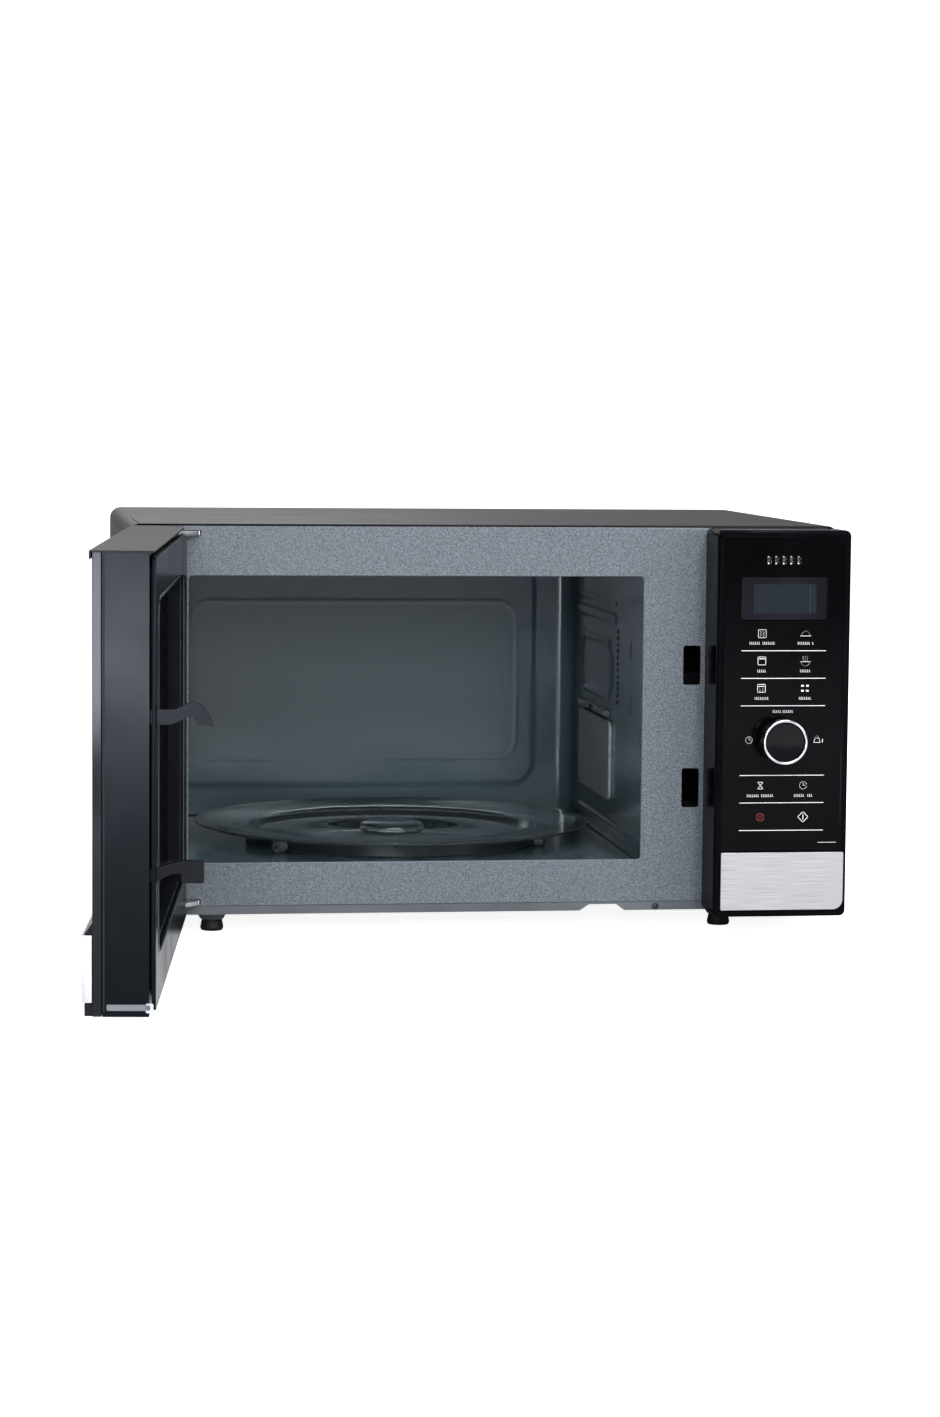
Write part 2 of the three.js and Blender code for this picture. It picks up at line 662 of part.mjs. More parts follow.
place(body, "waveguide", waveguide(), zinc);
place(body, "magnetron", magnetron(), zinc);
place(body, "transformer_core", transformerCore(), darkSteel);
place(body, "transformer_windings", transformerWindings(), copper);
place(body, "high_voltage_capacitor", capacitor(), zinc);
place(body, "fan_shroud", fanShroud(), whitePlastic);
place(body, "fan_motor", fanMotor(), darkSteel);
place(body, "fan_blade", fanBlade(), whitePlastic);
place(body, "noise_filter_board", noiseFilterBoard(), boardGreen);

// ---- Turntable ----
const axleLevel = FLOOR_LEVEL + WHEEL_RADIUS + GAP;
const trackLevel = axleLevel + WHEEL_RADIUS + GAP; // underside of the glass over the wheels
const sunkLevel = FLOOR_LEVEL + 4.3; // underside of the glass inside the wheels
const ringHub = COUPLER_RADIUS + 1.4;
const hubRise = 5.6; // the tray's hub stands this far above its sunk middle

// a piece drawn along +x from the turntable's axis, turned to its place
const onTurntable = (solid, angle = 0) => solid.rotate([0, 0, angle]).translate([...traySpot, 0]);

function turntableMotor() {
  const top = FLOOR_LEVEL - STEEL - GAP;
  const can = bar("xy", traySpot, 25, baseTop + 3, top, 28);
  const ears = block(around(traySpot[0], 66), around(traySpot[1], 12), [top - 1.2, top]);
  return cut(join(can, ears), bar("xy", traySpot, SHAFT_RADIUS + GAP, baseTop + 12, top + 2, 16));
}

function coupler() {
  const shaft = bar("xy", traySpot, SHAFT_RADIUS, baseTop + 14, FLOOR_LEVEL + 1, 16);
  const boss = bar("xy", traySpot, 9, FLOOR_LEVEL + 0.6, sunkLevel + 5, 20);
  const lobes = [0, 120, 240].map((angle) =>
    onTurntable(block([0, COUPLER_RADIUS], [-3, 3], [FLOOR_LEVEL + 0.6, sunkLevel + 5]), angle),
  );
  return join(shaft, boss, lobes);
}

function rollerRing() {
  const inside = WHEEL_RING - WHEEL_WIDTH / 2 - 3.2;
  const ring = cut(
    bar("xy", traySpot, inside + 2.4, FLOOR_LEVEL + 1, axleLevel + WHEEL_RADIUS - 0.7, 36),
    bar("xy", traySpot, inside, FLOOR_LEVEL, axleLevel + 5, 36),
  );
  const hub = cut(
    bar("xy", traySpot, ringHub + 4, FLOOR_LEVEL + 1, FLOOR_LEVEL + 3.6, 28),
    bar("xy", traySpot, ringHub, FLOOR_LEVEL, FLOOR_LEVEL + 5, 28),
  );
  const arms = WHEEL_ANGLES.map((angle) =>
    onTurntable(block([ringHub + 2, inside + 1], [-4, 4], [FLOOR_LEVEL + 1, FLOOR_LEVEL + 3.6]), angle),
  );
  const pinEnd = WHEEL_RING + WHEEL_WIDTH / 2 + 0.6;
  const pins = WHEEL_ANGLES.map((angle) =>
    onTurntable(bar("yz", [0, axleLevel], WHEEL_PIN, inside + 1, pinEnd, 12), angle),
  );
  return join(ring, hub, arms, pins);
}

function wheel(angle) {
  const span = around(WHEEL_RING, WHEEL_WIDTH);
  const tyre = cut(
    bar("yz", [0, axleLevel], WHEEL_RADIUS, ...span),
    bar("yz", [0, axleLevel], WHEEL_PIN + GAP, span[0] - 1, span[1] + 1, 12),
  );
  return onTurntable(tyre, angle);
}

function glassTray() {
  const flat = WHEEL_RING - 11.2; // radius of the sunk middle
  const track = Math.min(WHEEL_RING + 7, trayRadius - 18);
  const rimTop = trackLevel + 6.2;
  const underside = [
    [0, sunkLevel + hubRise],
    [COUPLER_RADIUS + 5, sunkLevel + hubRise],
    [COUPLER_RADIUS + 8, sunkLevel],
    [flat, sunkLevel],
    [flat + 4, trackLevel],
    [track, trackLevel],
    [trayRadius - 5, rimTop - 3],
    [trayRadius, rimTop - 1],
  ];
  const top = [
    [trayRadius - 0.5, rimTop],
    [trayRadius - 5, rimTop - 0.4],
    [track - 1, trackLevel + TRAY_GLASS],
    [flat + 2, trackLevel + TRAY_GLASS],
    [flat - 2, sunkLevel + TRAY_GLASS],
    [COUPLER_RADIUS + 10, sunkLevel + TRAY_GLASS],
    [COUPLER_RADIUS + 7, sunkLevel + hubRise + TRAY_GLASS],
    [0, sunkLevel + hubRise + TRAY_GLASS],
  ];
  const lug = block([10.5, COUPLER_RADIUS], [-2.5, 2.5], [sunkLevel + 1.5, sunkLevel + hubRise + 0.4]);
  const lugs = [60, 180, 300].map((angle) => onTurntable(lug, angle));
  return join(onTurntable(turned([...underside, ...top], 48)), lugs);
}

place(body, "turntable_motor", turntableMotor(), zinc);
place(body, "turntable_coupler", coupler(), whitePlastic);
place(body, "roller_ring", rollerRing(), blackPlastic);
WHEEL_ANGLES.forEach((angle, i) => place(body, `roller_${i + 1}`, wheel(angle), whitePlastic));
place(body, "glass_tray", glassTray(), clearGlass);

// ---- Door latch and switches ----
const HOOK_HEIGHTS = [14.4, 13];
const hookTops = LATCH_HEIGHTS.map((z, i) => z + SLOT_HEIGHT / 2 - HOOK_DROPS[i]);
const plungerLevels = hookTops.map((top, i) => top - HOOK_HEIGHTS[i] + 3);
const hookMiddle = hookX + HOOK_THICKNESS / 2;

function latchBody() {
  const z = [LATCH_HEIGHTS[1] - 26, LATCH_HEIGHTS[0] + 26];
  const x = [slotLeft - 6, slotRight + 6];
  const front = plateBack + GAP;
  const frame = block(x, [front, pocketBack + 6], z);
  const pocketX = [slotLeft - 1, slotRight + 1];
  const pockets = LATCH_HEIGHTS.map((level, i) => {
    const ledge = hookTops[i] - HOOK_HEIGHTS[i] - 0.6;
    return join(
      block(pocketX, [front - 1, pocketBack], [ledge, level + SLOT_HEIGHT / 2 + 4]),
      block(pocketX, [pocketBack - 14, pocketBack], [level - SLOT_HEIGHT / 2, level]),
    );
  });
  const plungerHoles = plungerLevels.map((level) =>
    bar("xz", [hookMiddle, level], PLUNGER_RADIUS + GAP, pocketBack - 2, pocketBack + 10, 12),
  );
  const spareZ = [LATCH_HEIGHTS[1] + 30, LATCH_HEIGHTS[0] - 30];
  const spare = block([x[0] - 1, x[1] + 1], [front + 8, pocketBack + 8], spareZ);
  return cut(frame, pockets, plungerHoles, spare);
}

function doorSwitch(level) {
  const front = pocketBack + 6 + GAP;
  const shell = block(around(hookMiddle, 10), [front, front + 16], around(level - 4, 27));
  const tabs = [-11, -1].map((drop) =>
    block(around(hookMiddle, 4), [front + 15, front + 22], around(level + drop, 1)),
  );
  const hole = bar("xz", [hookMiddle, level], PLUNGER_RADIUS + GAP, front - 1, front + 9, 12);
  return cut(join(shell, tabs), hole);
}

// its tip waits half a millimetre behind the shut hook
function plunger(level, reach) {
  const tip = faceY - DOOR_SEAT + reach + 0.5;
  return bar("xz", [hookMiddle, level], PLUNGER_RADIUS, tip, pocketBack + 11, 12);
}

place(body, "latch_body", latchBody(), whitePlastic);
["upper", "lower"].forEach((name, i) => {
  place(body, `door_switch_${name}`, doorSwitch(plungerLevels[i]), blackPlastic);
  place(body, `switch_plunger_${name}`, plunger(plungerLevels[i], HOOK_REACHES[i]), redPlastic);
});

// ---- Control panel ----
const panelBack = faceY - GAP;
const sheetSides = [panelLeft + 5, half - 5.6];
const sheetBottom = TRIM_BOTTOM + TRIM_HEIGHT + 1;
const knobSpot = [panelMiddle - 1.8, KNOB_LEVEL];
const displayX = around(panelMiddle, DISPLAY_SIZE[0]);
const displayZ = [HEIGHT - DISPLAY_TOP_MARGIN - DISPLAY_SIZE[1], HEIGHT - DISPLAY_TOP_MARGIN];

const SHAFT_HOLE = 4;
const SHEET_FRONT = 0.2;

function controlHousing() {
  const top = HEIGHT - 1.5;
  const wallThickness = 2.5;
  const step = 1.5; // the front face is smaller all round than the body behind it
  const outline = (inset, radius) =>
    rounded([panelLeft + inset, half - inset], [CASE_BOTTOM + inset, top - inset], radius);
  const shell = prism("xz", outline(0, 4), step, panelBack, 4);
  const crown = prism("xz", outline(step, 3), 0, step + 0.5, 4);
  const hollow = block(
    [panelLeft + wallThickness, half - wallThickness],
    [4.6, faceY + 1],
    [CASE_BOTTOM + wallThickness, top - wallThickness],
  );
  const seatX = [sheetSides[0] - GAP, sheetSides[1] + GAP];
  const sheetSeat = block(seatX, [-1, 1.6], [sheetBottom - GAP, SHEET_TOP + GAP]);
  const trimSeat = block([seatX[0], half - 1.9], [-1, 1], [TRIM_BOTTOM - GAP, sheetBottom - 0.7]);
  const window = block(displayX, [-1, 8], displayZ);
  const knobHole = bar("xz", knobSpot, SHAFT_HOLE, -1, 8, 16);
  return cut(join(shell, crown), hollow, sheetSeat, trimSeat, window, knobHole);
}

function controlSheet() {
  const outline = rounded(sheetSides, [sheetBottom, SHEET_TOP], [0.5, 0.5, 3, 3]);
  const windowX = [displayX[0] - GAP, displayX[1] + GAP];
  const windowZ = [displayZ[0] - GAP, displayZ[1] + GAP];
  return cut(
    prism("xz", outline, SHEET_FRONT, SHEET_FRONT + 1.1, 3),
    prism("xz", rounded(windowX, windowZ, 1), -1, 4, 2),
    bar("xz", knobSpot, SHAFT_HOLE, -1, 4, 16),
  );
}

function displayWindow() {
  return prism("xz", rounded(displayX, displayZ, 0.8), 0.1, 1.3, 2);
}

function displayModule() {
  return block(around(panelMiddle - 0.5, 50), [5, 12], [displayZ[0] - 1, displayZ[1] - 1]);
}

const boardFront = 17;
const ENCODER_SHAFT = 3;
const RING_WIDTH = 2.2;

function controlBoard() {
  const back = boardFront + 1.6;
  const board = block([panelLeft + 8, half - 8], [boardFront, back], [70, HEIGHT - 14]);
  const relays = [90, 176].map((z) => block(around(half - 26, 16), [back - 0.2, 32], around(z, 20)));
  const supply = block([panelLeft + 14, panelLeft + 40], [back - 0.2, 34], [150, 185]);
  return join(board, relays, supply);
}

function encoder() {
  const shaft = bar("xz", knobSpot, ENCODER_SHAFT, -12, 10, 14);
  return join(block(around(knobSpot[0], 14), [9, boardFront - GAP], around(knobSpot[1], 14)), shaft);
}

function dialKnob() {
  const skirt = bar("xz", knobSpot, KNOB_RADIUS, -KNOB_LENGTH + 3, -0.4, 36);
  const face = bar("xz", knobSpot, KNOB_RADIUS - RING_WIDTH, -KNOB_LENGTH + 1, -4, 36);
  const bore = bar("xz", knobSpot, ENCODER_SHAFT + GAP, -12.5, 1, 14);
  return cut(join(skirt, face), bore);
}

function dialRing() {
  return cut(
    bar("xz", knobSpot, KNOB_RADIUS, -KNOB_LENGTH, -KNOB_LENGTH + 3 - GAP, 36),
    bar("xz", knobSpot, KNOB_RADIUS - RING_WIDTH + GAP, -KNOB_LENGTH - 1, -KNOB_LENGTH + 4, 36),
  );
}

function trimPlate() {
  const z = [TRIM_BOTTOM, TRIM_BOTTOM + TRIM_HEIGHT];
  return prism("xz", rounded([sheetSides[0], half - 2.2], z, [0.6, 7, 0.6, 0.6]), -1.4, 0.7, 4);
}

place(body, "control_housing", controlHousing(), blackGloss);
place(body, "control_sheet", controlSheet(), blackGloss);
place(body, "display_window", displayWindow(), smokedPlastic);
place(body, "display_module", displayModule(), tealDisplay);
place(body, "control_board", controlBoard(), boardGreen);
place(body, "dial_encoder", encoder(), zinc);
place(body, "dial_knob", dialKnob(), blackGloss);
place(body, "dial_ring", dialRing(), chrome);
place(body, "trim_plate", trimPlate(), brushed);

// ---- Hinges ----
const PIN_LENGTH = 12;

function hingeBracket({ plate, pin }) {
  const [x, y] = hinge;
  const armShape = polygon([
    [x - ARM_HEEL, y - 3],
    [x + 5, y - 5],
    [x + ARM_LENGTH - 2, faceY - 8],
    [x + ARM_LENGTH, plateBack],
    [x - ARM_HEEL, plateBack],
  ]);
  const eye = bar("xy", hinge, 6.5, ...plate);
  const footZ = pin < 0 ? [plate[0] - 20, plate[1]] : [plate[0], plate[1] + 18];
  const flange = block([x - 8, x + 20], [plateBack + GAP, plateBack + 2], footZ);
  const armBack = block([x - ARM_HEEL, x + ARM_LENGTH], [faceY - 4, plateBack + 2], plate);
  const rod = pin < 0 ? [plate[0] - PIN_LENGTH, plate[1]] : [plate[0], plate[1] + PIN_LENGTH];
  return join(prism("xy", armShape, ...plate), eye, flange, armBack, bar("xy", hinge, PIN_RADIUS, ...rod, 16));
}

place(body, "hinge_bracket_upper", hingeBracket(bracketSlots[0]), zinc);
place(body, "hinge_bracket_lower", hingeBracket(bracketSlots[1]), zinc);

// ---- Door ----
const free = doorLength;
const frontBack = doorOuter + DOOR_FRONT; // rear of the front panel
const linerFront = doorInner - 3.4; // front of the black trim on the inner side
const windowX = [DOOR_RIM + 6, free - DOOR_RIM];
const windowZ = [OPEN_BOTTOM, doorTop - 32];
const WINDOW_RADIUS = 12;
const WELL_DEPTH = 9; // of the window below the inner panel
const keyX = hookX - hinge[0];
const keyRoomTop = LATCH_HEIGHTS[0] + 36;
const keyFront = linerFront - 8;
const ARM_RISE = 5; // the hooks' arms leave the key this far under their heads

// clears the brackets and their pins all through the door's swing
function hingeRelief(top) {
  const [low, high] = bracketSlots[top ? 0 : 1].plate;
  const pocket = block([doorHeel - 1, ARM_LENGTH + 3], [-9.5, doorInner + 1], [low - 1, high + 1]);
  const boreLength = PIN_LENGTH + 1.5;
  const boreZ = top ? [low - boreLength, high] : [low, high + boreLength];
  const bore = bar("xy", [0, 0], PIN_RADIUS + GAP, ...boreZ, 16);
  return join(pocket, bore);
}

// the heel's inner corner is round about the hinge axis, so that it turns clear of the case
function heelShape(y0, y1) {
  const shape = new THREE.Shape();
  const reach = -doorHeel;
  const startAngle = Math.asin(Math.min(y1, reach) / reach);
  shape.moveTo(doorHeel, Math.min(0, y1));
  if (y0 < doorOuter + 1) {
    const corner = DOOR_EDGE_RADIUS;
    shape.lineTo(doorHeel, y0 + corner);
    shape.absarc(doorHeel + corner, y0 + corner, corner, Math.PI, 1.5 * Math.PI);
  } else {
    shape.lineTo(doorHeel, y0);
  }
  shape.lineTo(free, y0);
  shape.lineTo(free, y1);
  if (y1 > reach) {
    shape.lineTo(0, y1);
    shape.lineTo(0, reach);
  }
  if (y1 > 0) shape.absarc(0, 0, reach, y1 > reach ? Math.PI / 2 : Math.PI - startAngle, Math.PI);
  return shape;
}

const stripZ = [HANDLE_BOTTOM, HANDLE_BOTTOM + HANDLE_HEIGHT];
const stripBack = doorOuter - HANDLE_PROUD + HANDLE_SHEET;

function doorFrontPanel() {
  const slab = prism("xy", heelShape(doorOuter, frontBack - GAP), CASE_BOTTOM, doorTop, 5);
  const front = stripBack + GAP;
  const handle = polygon([
    [doorOuter + 1, stripZ[1] + 9],
    [front, stripZ[1]],
    [front, CASE_BOTTOM],
    [doorOuter + 1, CASE_BOTTOM],
  ]);
  const bulge = prism("yz", handle, doorHeel + 6, free - HANDLE_SHEET - 2 * GAP);
  return cut(join(slab, bulge), hingeRelief(true), hingeRelief(false));
}

// a thin strip with its free end turned back over the handle's end
function handleStrip() {
  const x = [doorHeel + 7, free - GAP];
  const face = prism("xz", rounded(x, stripZ, 1), doorOuter - HANDLE_PROUD, stripBack, 2);
  const end = block([x[1] - HANDLE_SHEET, x[1]], [stripBack - 0.5, doorOuter - GAP], stripZ);
  return join(face, end);
}

function doorFrame() {
  const ring = prism("xy", heelShape(frontBack, linerFront - GAP), CASE_BOTTOM, doorTop, 8);
  const y = [frontBack - 1, doorInner + 1];
  const window = block([windowX[0] - 2, windowX[1] + 2], y, [windowZ[0] - 2, windowZ[1] + 2]);
  const keyRoom = block(
    [keyX - 4, keyX + HOOK_THICKNESS + 3.4],
    [linerFront - 10, doorInner + 1],
    [LATCH_HEIGHTS[1] - 16, keyRoomTop],
  );
  return cut(ring, window, keyRoom, hingeRelief(true), hingeRelief(false));
}

// the window's outline in the door, grown or shrunk all round
const windowShape = (inset) =>
  rounded(
    [windowX[0] + inset, windowX[1] - inset],
    [windowZ[0] + inset, windowZ[1] - inset],
    WINDOW_RADIUS - inset,
  );

function doorInnerPanel() {
  const back = linerFront + 0.7;
  const pan = block([37, free - 16], [linerFront - 0.1, back], [CASE_BOTTOM + 10, doorTop - 10]);
  const floor = linerFront - WELL_DEPTH;
  const well = cut(
    prism("xz", windowShape(0), floor, linerFront + 0.5, 4),
    prism("xz", windowShape(STEEL), floor + STEEL, linerFront + 2, 4),
  );
  const hole = prism("xz", windowShape(STEEL / 2), linerFront - 2, linerFront + 2, 4);
  return join(cut(pan, hole), well);
}

function windowFilm() {
  const y = linerFront - WELL_DEPTH + STEEL + GAP;
  return prism("xz", windowShape(STEEL + 0.4), y, y + 0.8, 4);
}

function chokeCover() {
  const y = [linerFront + 0.7 + GAP, doorInner];
  const through = [y[0] - 1, y[1] + 1];
  const ring = prism("xz", rounded([2, free - 3], [CASE_BOTTOM + 3, doorTop - 3], 3), ...y, 3);
  const hole = prism("xz", windowShape(-4), ...through, 4);
  const clear = 0.8;
  const hookSlots = hookTops.map((top, i) => {
    const z = [top - HOOK_HEIGHTS[i] - clear, top - ARM_RISE + KEY_LIFT + clear];
    return block([keyX - clear, keyX + HOOK_THICKNESS + clear], through, z);
  });
  return cut(ring, hole, hookSlots, hingeRelief(true), hingeRelief(false));
}

// outlines of the hooks: how far beyond the door's inner face, and how far from the head's top
const root = keyFront + 3 - doorInner;
const barbed = [
  [root, -13.2], [7, -13.4], [10, -12.6], [17, -9], [20.5, -9.2], [23, -13.1], [32, -14.4],
  [31, -11], [29, -7], [26.5, -3.6], [24, -1], [21, 0], [17.5, -1.2], [10, -5], [root, -ARM_RISE],
];
const square = [
  [root, -12.9], [-1.5, -12.9], [5, -9.5], [9, -7.6], [14.2, -7.2], [14.2, -12.2], [15, -13],
  [26.2, -13], [27, -12.2], [27, -1.5], [25.5, 0], [14.6, -0.2], [5, -2.7], [0, -ARM_RISE], [root, -ARM_RISE],
];

function hook(outline, top) {
  const points = outline.map(([reach, rise]) => [doorInner + reach, top + rise]);
  return prism("yz", polygon(points), keyX, keyX + HOOK_THICKNESS);
}

function doorKey() {
  const z = [hookTops[1] - HOOK_HEIGHTS[1], hookTops[0] + 4];
  const bridge = block([keyX, keyX + HOOK_THICKNESS], [keyFront, keyFront + 4], z);
  return join(bridge, hook(barbed, hookTops[0]), hook(square, hookTops[1]));
}

const springSpot = [keyX + HOOK_THICKNESS / 2, linerFront - 6];
const springEnds = [hookTops[0] + 4 + GAP, keyRoomTop - GAP];

function keySpring() {
  const turnsOfWire = 5;
  const curve = new THREE.Curve();
  curve.getPoint = (t) => {
    const angle = t * turnsOfWire * 2 * Math.PI;
    const z = springEnds[0] + 0.5 + t * (springEnds[1] - springEnds[0] - 1);
    return new THREE.Vector3(springSpot[0] + 2 * Math.cos(angle), springSpot[1] + 2 * Math.sin(angle), z);
  };
  const wire = new THREE.ExtrudeGeometry(circle([0, 0], 0.4), { steps: 40, extrudePath: curve, curveSegments: 3 });
  return toSolid(wire);
}

place(door, "door_front_panel", doorFrontPanel(), blackGloss);
place(door, "handle_strip", handleStrip(), brushed);
place(door, "door_frame", doorFrame(), blackPlastic);
place(door, "door_inner_panel", doorInnerPanel(), enamel);
place(door, "door_window_film", windowFilm(), darkFilm);
place(door, "choke_cover", chokeCover(), enamel);
place(door, "door_key", doorKey(), keyPlastic);
place(door, "door_key_spring", keySpring(), zinc);

// ---- The whole stands on z = 0, centred over the origin with the door open ----
oven.updateMatrixWorld(true);
const bounds = new THREE.Box3().setFromObject(oven, true);
const middle = bounds.getCenter(new THREE.Vector3());
oven.position.set(-middle.x, -middle.y, -bounds.min.z);

export default oven;
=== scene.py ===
# Countertop microwave oven with its door open, in metres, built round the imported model.
import json
import math

import bmesh
import bpy
import numpy as np
from mathutils import Matrix, Vector

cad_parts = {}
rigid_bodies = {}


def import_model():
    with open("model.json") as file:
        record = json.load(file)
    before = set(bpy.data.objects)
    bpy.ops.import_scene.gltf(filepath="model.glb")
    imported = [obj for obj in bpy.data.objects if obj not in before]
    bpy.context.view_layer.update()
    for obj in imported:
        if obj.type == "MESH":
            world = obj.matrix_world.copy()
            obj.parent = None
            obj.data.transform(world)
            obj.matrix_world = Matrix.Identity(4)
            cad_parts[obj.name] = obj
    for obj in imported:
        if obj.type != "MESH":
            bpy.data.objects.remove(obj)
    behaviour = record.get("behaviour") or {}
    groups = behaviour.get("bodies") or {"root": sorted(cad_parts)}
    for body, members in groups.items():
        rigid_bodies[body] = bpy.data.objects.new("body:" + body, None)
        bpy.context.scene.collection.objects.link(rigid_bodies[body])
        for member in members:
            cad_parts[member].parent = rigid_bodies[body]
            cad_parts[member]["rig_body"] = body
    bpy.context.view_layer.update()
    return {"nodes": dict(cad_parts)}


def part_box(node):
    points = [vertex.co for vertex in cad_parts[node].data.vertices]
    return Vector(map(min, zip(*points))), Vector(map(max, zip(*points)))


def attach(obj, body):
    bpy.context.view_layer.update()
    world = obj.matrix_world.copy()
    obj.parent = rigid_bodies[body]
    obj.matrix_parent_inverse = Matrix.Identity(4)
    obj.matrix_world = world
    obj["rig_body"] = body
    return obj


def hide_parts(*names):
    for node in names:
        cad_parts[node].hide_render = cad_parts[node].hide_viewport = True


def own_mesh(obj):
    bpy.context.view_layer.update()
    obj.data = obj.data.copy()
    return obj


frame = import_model()
MM = 0.001

# ---- Camera ----
# Stands 2.3 m in front of the oven and a little to its left, looking slightly down and to
# the right, so that the open door is seen on its free end.
scene = bpy.context.scene
HALF_WIDTH = 244.0
panel_low, panel_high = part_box("control_housing")
case_middle = panel_high.x - HALF_WIDTH * MM


def put(name, data):
    made = bpy.data.objects.new(name, data)
    scene.collection.objects.link(made)
    return made


camera = put("camera", bpy.data.cameras.new("camera"))
scene.camera = camera
camera.data.sensor_width = 36
camera.data.lens = 89.6
camera.data.clip_end = 50
pitch, yaw, roll = 0.0879, 0.1371, 0.0089
ahead = Vector((math.sin(yaw) * math.cos(pitch), math.cos(yaw) * math.cos(pitch), -math.sin(pitch)))
level_right = Vector((math.cos(yaw), -math.sin(yaw), 0))
level_up = level_right.cross(ahead)
right = level_right * math.cos(roll) + level_up * math.sin(roll)
up = level_up * math.cos(roll) - level_right * math.sin(roll)
stand = Vector((case_middle - 0.3394, panel_low.y - 2.3385, 0.36505))
camera.matrix_world = Matrix((
    (right.x, up.x, -ahead.x, stand.x),
    (right.y, up.y, -ahead.y, stand.y),
    (right.z, up.z, -ahead.z, stand.z),
    (0, 0, 0, 1),
))

# ---- Studio ----
# A pale floor without an end, a dim white surround that leaves the gloss black parts dark,
# a large softbox above and smaller ones to the right, behind, in front and low down.
scene.view_settings.view_transform = "Standard"
scene.view_settings.look = "Medium High Contrast"
FLOOR_HALF = 12
floor_corners = [(-FLOOR_HALF, -FLOOR_HALF, 0), (FLOOR_HALF, -FLOOR_HALF, 0)]
floor_corners += [(FLOOR_HALF, FLOOR_HALF, 0), (-FLOOR_HALF, FLOOR_HALF, 0)]
floor_mesh = bpy.data.meshes.new("floor")
floor_mesh.from_pydata(floor_corners, [], [(0, 1, 2, 3)])
studio_floor = put("floor", floor_mesh)
studio_floor.location.z = -0.0002


def shader_of(material):
    return material.node_tree.nodes["Principled BSDF"]


def new_material(name, colour, roughness, metallic=0.0, specular=0.5):
    material = bpy.data.materials.new(name)
    material.use_nodes = True
    shader = shader_of(material)
    shader.inputs["Base Color"].default_value = (*colour, 1)
    shader.inputs["Roughness"].default_value = roughness
    shader.inputs["Metallic"].default_value = metallic
    shader.inputs["Specular IOR Level"].default_value = specular
    return material


def add_node(tree, kind, *in_order, operation=None, **by_name):
    """A node of one kind; each input is given a value, or a socket to link from."""
    made = tree.nodes.new(kind)
    if operation:
        made.operation = operation
    wanted = [(made.inputs[i], value) for i, value in enumerate(in_order)]
    wanted += [(made.inputs[name.replace("_", " ")], value) for name, value in by_name.items()]
    for socket, value in wanted:
        if isinstance(value, bpy.types.NodeSocket):
            tree.links.new(value, socket)
        else:
            socket.default_value = value
    return made


floor_white = new_material("floor_white", (0.86, 0.86, 0.87), 0.8, specular=0.1)
floor_tree = floor_white.node_tree
floor_shader = shader_of(floor_white)
floor_shader.inputs["Emission Color"].default_value = (1, 1, 1, 1)
floor_path = add_node(floor_tree, "ShaderNodeLightPath")
seen = floor_path.outputs["Is Camera Ray"]
floor_glow = add_node(floor_tree, "ShaderNodeMath", seen, 0.75, operation="MULTIPLY")
floor_tree.links.new(floor_glow.outputs[0], floor_shader.inputs["Emission Strength"])
floor_mesh.materials.append(floor_white)

world = bpy.data.worlds.new("studio")
scene.world = world
world.use_nodes = True
sky = world.node_tree
surround = sky.nodes["Background"]
surround.inputs["Color"].default_value = (0.93, 0.96, 1.0, 1)
surround.inputs["Strength"].default_value = 0.45
backdrop = add_node(sky, "ShaderNodeBackground", Color=(1, 1, 1, 1), Strength=1.0)
seen_straight = add_node(sky, "ShaderNodeLightPath").outputs["Is Camera Ray"]
either = add_node(sky, "ShaderNodeMixShader", seen_straight, surround.outputs[0], backdrop.outputs[0])
sky.links.new(either.outputs[0], sky.nodes["World Output"].inputs["Surface"])


def softbox(name, place, target, width, height, power, tint=(1, 1, 1)):
    lamp = bpy.data.lights.new(name, "AREA")
    lamp.shape = "RECTANGLE"
    lamp.size = width
    lamp.size_y = height
    lamp.energy = power
    lamp.color = tint
    holder = put(name, lamp)
    holder.location = place
    holder.rotation_euler = (Vector(target) - Vector(place)).to_track_quat("-Z", "Y").to_euler()
    holder.visible_camera = False


softbox("softbox_above", (0.1, -1.0, 2.4), (0, 0, 0.1), 2.2, 1.6, 42)
softbox("softbox_right", (2.2, -1.8, 1.2), (0.1, 0.1, 0.15), 1.2, 1.2, 16)
softbox("softbox_behind", (-0.6, 2.4, 1.6), (0, 0.2, 0.2), 2.0, 1.0, 14)
softbox("softbox_front", (-0.5, -3.2, 0.9), (0, 0.1, 0.15), 1.0, 0.6, 26, (0.93, 0.96, 1.0))
softbox("softbox_low", (-0.42, -1.4, 0.16), (-0.26, -0.36, 0.16), 0.3, 0.17, 2.4, (0.84, 0.87, 1.0))
softbox("softbox_small", (0.5, -2.3, 1.3), (0, 0.2, 0.15), 0.3, 0.3, 20, (0.95, 0.98, 1.0))

# ---- Outer cover ----
# One sheet of steel bent over the top and down both sides, powder coated a dark brown
# black. Its front edge is hemmed and stands round the oven's face plate.
COVER_COLOUR = (0.014, 0.0125, 0.012)


def pattern_on(material, scale, detail=2.0, stretch=(1, 1, 1), cells=False, rough=0.5):
    """Noise or cells fixed to the piece, with features of about 1/scale metres."""
    tree = material.node_tree
    place = add_node(tree, "ShaderNodeTexCoord")
    mapped = add_node(tree, "ShaderNodeMapping", Vector=place.outputs["Object"], Scale=stretch)
    spread = {"Vector": mapped.outputs["Vector"], "Scale": scale}
    if cells:
        return add_node(tree, "ShaderNodeTexVoronoi", **spread).outputs["Distance"]
    return add_node(tree, "ShaderNodeTexNoise", Detail=detail, Roughness=rough, **spread).outputs["Fac"]


def vary_colour(material, noise, dark, light, low=0.35, high=0.65):
    tree = material.node_tree
    ramp = add_node(tree, "ShaderNodeValToRGB", Fac=noise)
    for stop, place, colour in zip(ramp.color_ramp.elements, (low, high), (dark, light)):
        stop.position = place
        stop.color = (*colour, 1)
    tree.links.new(ramp.outputs["Color"], shader_of(material).inputs["Base Color"])


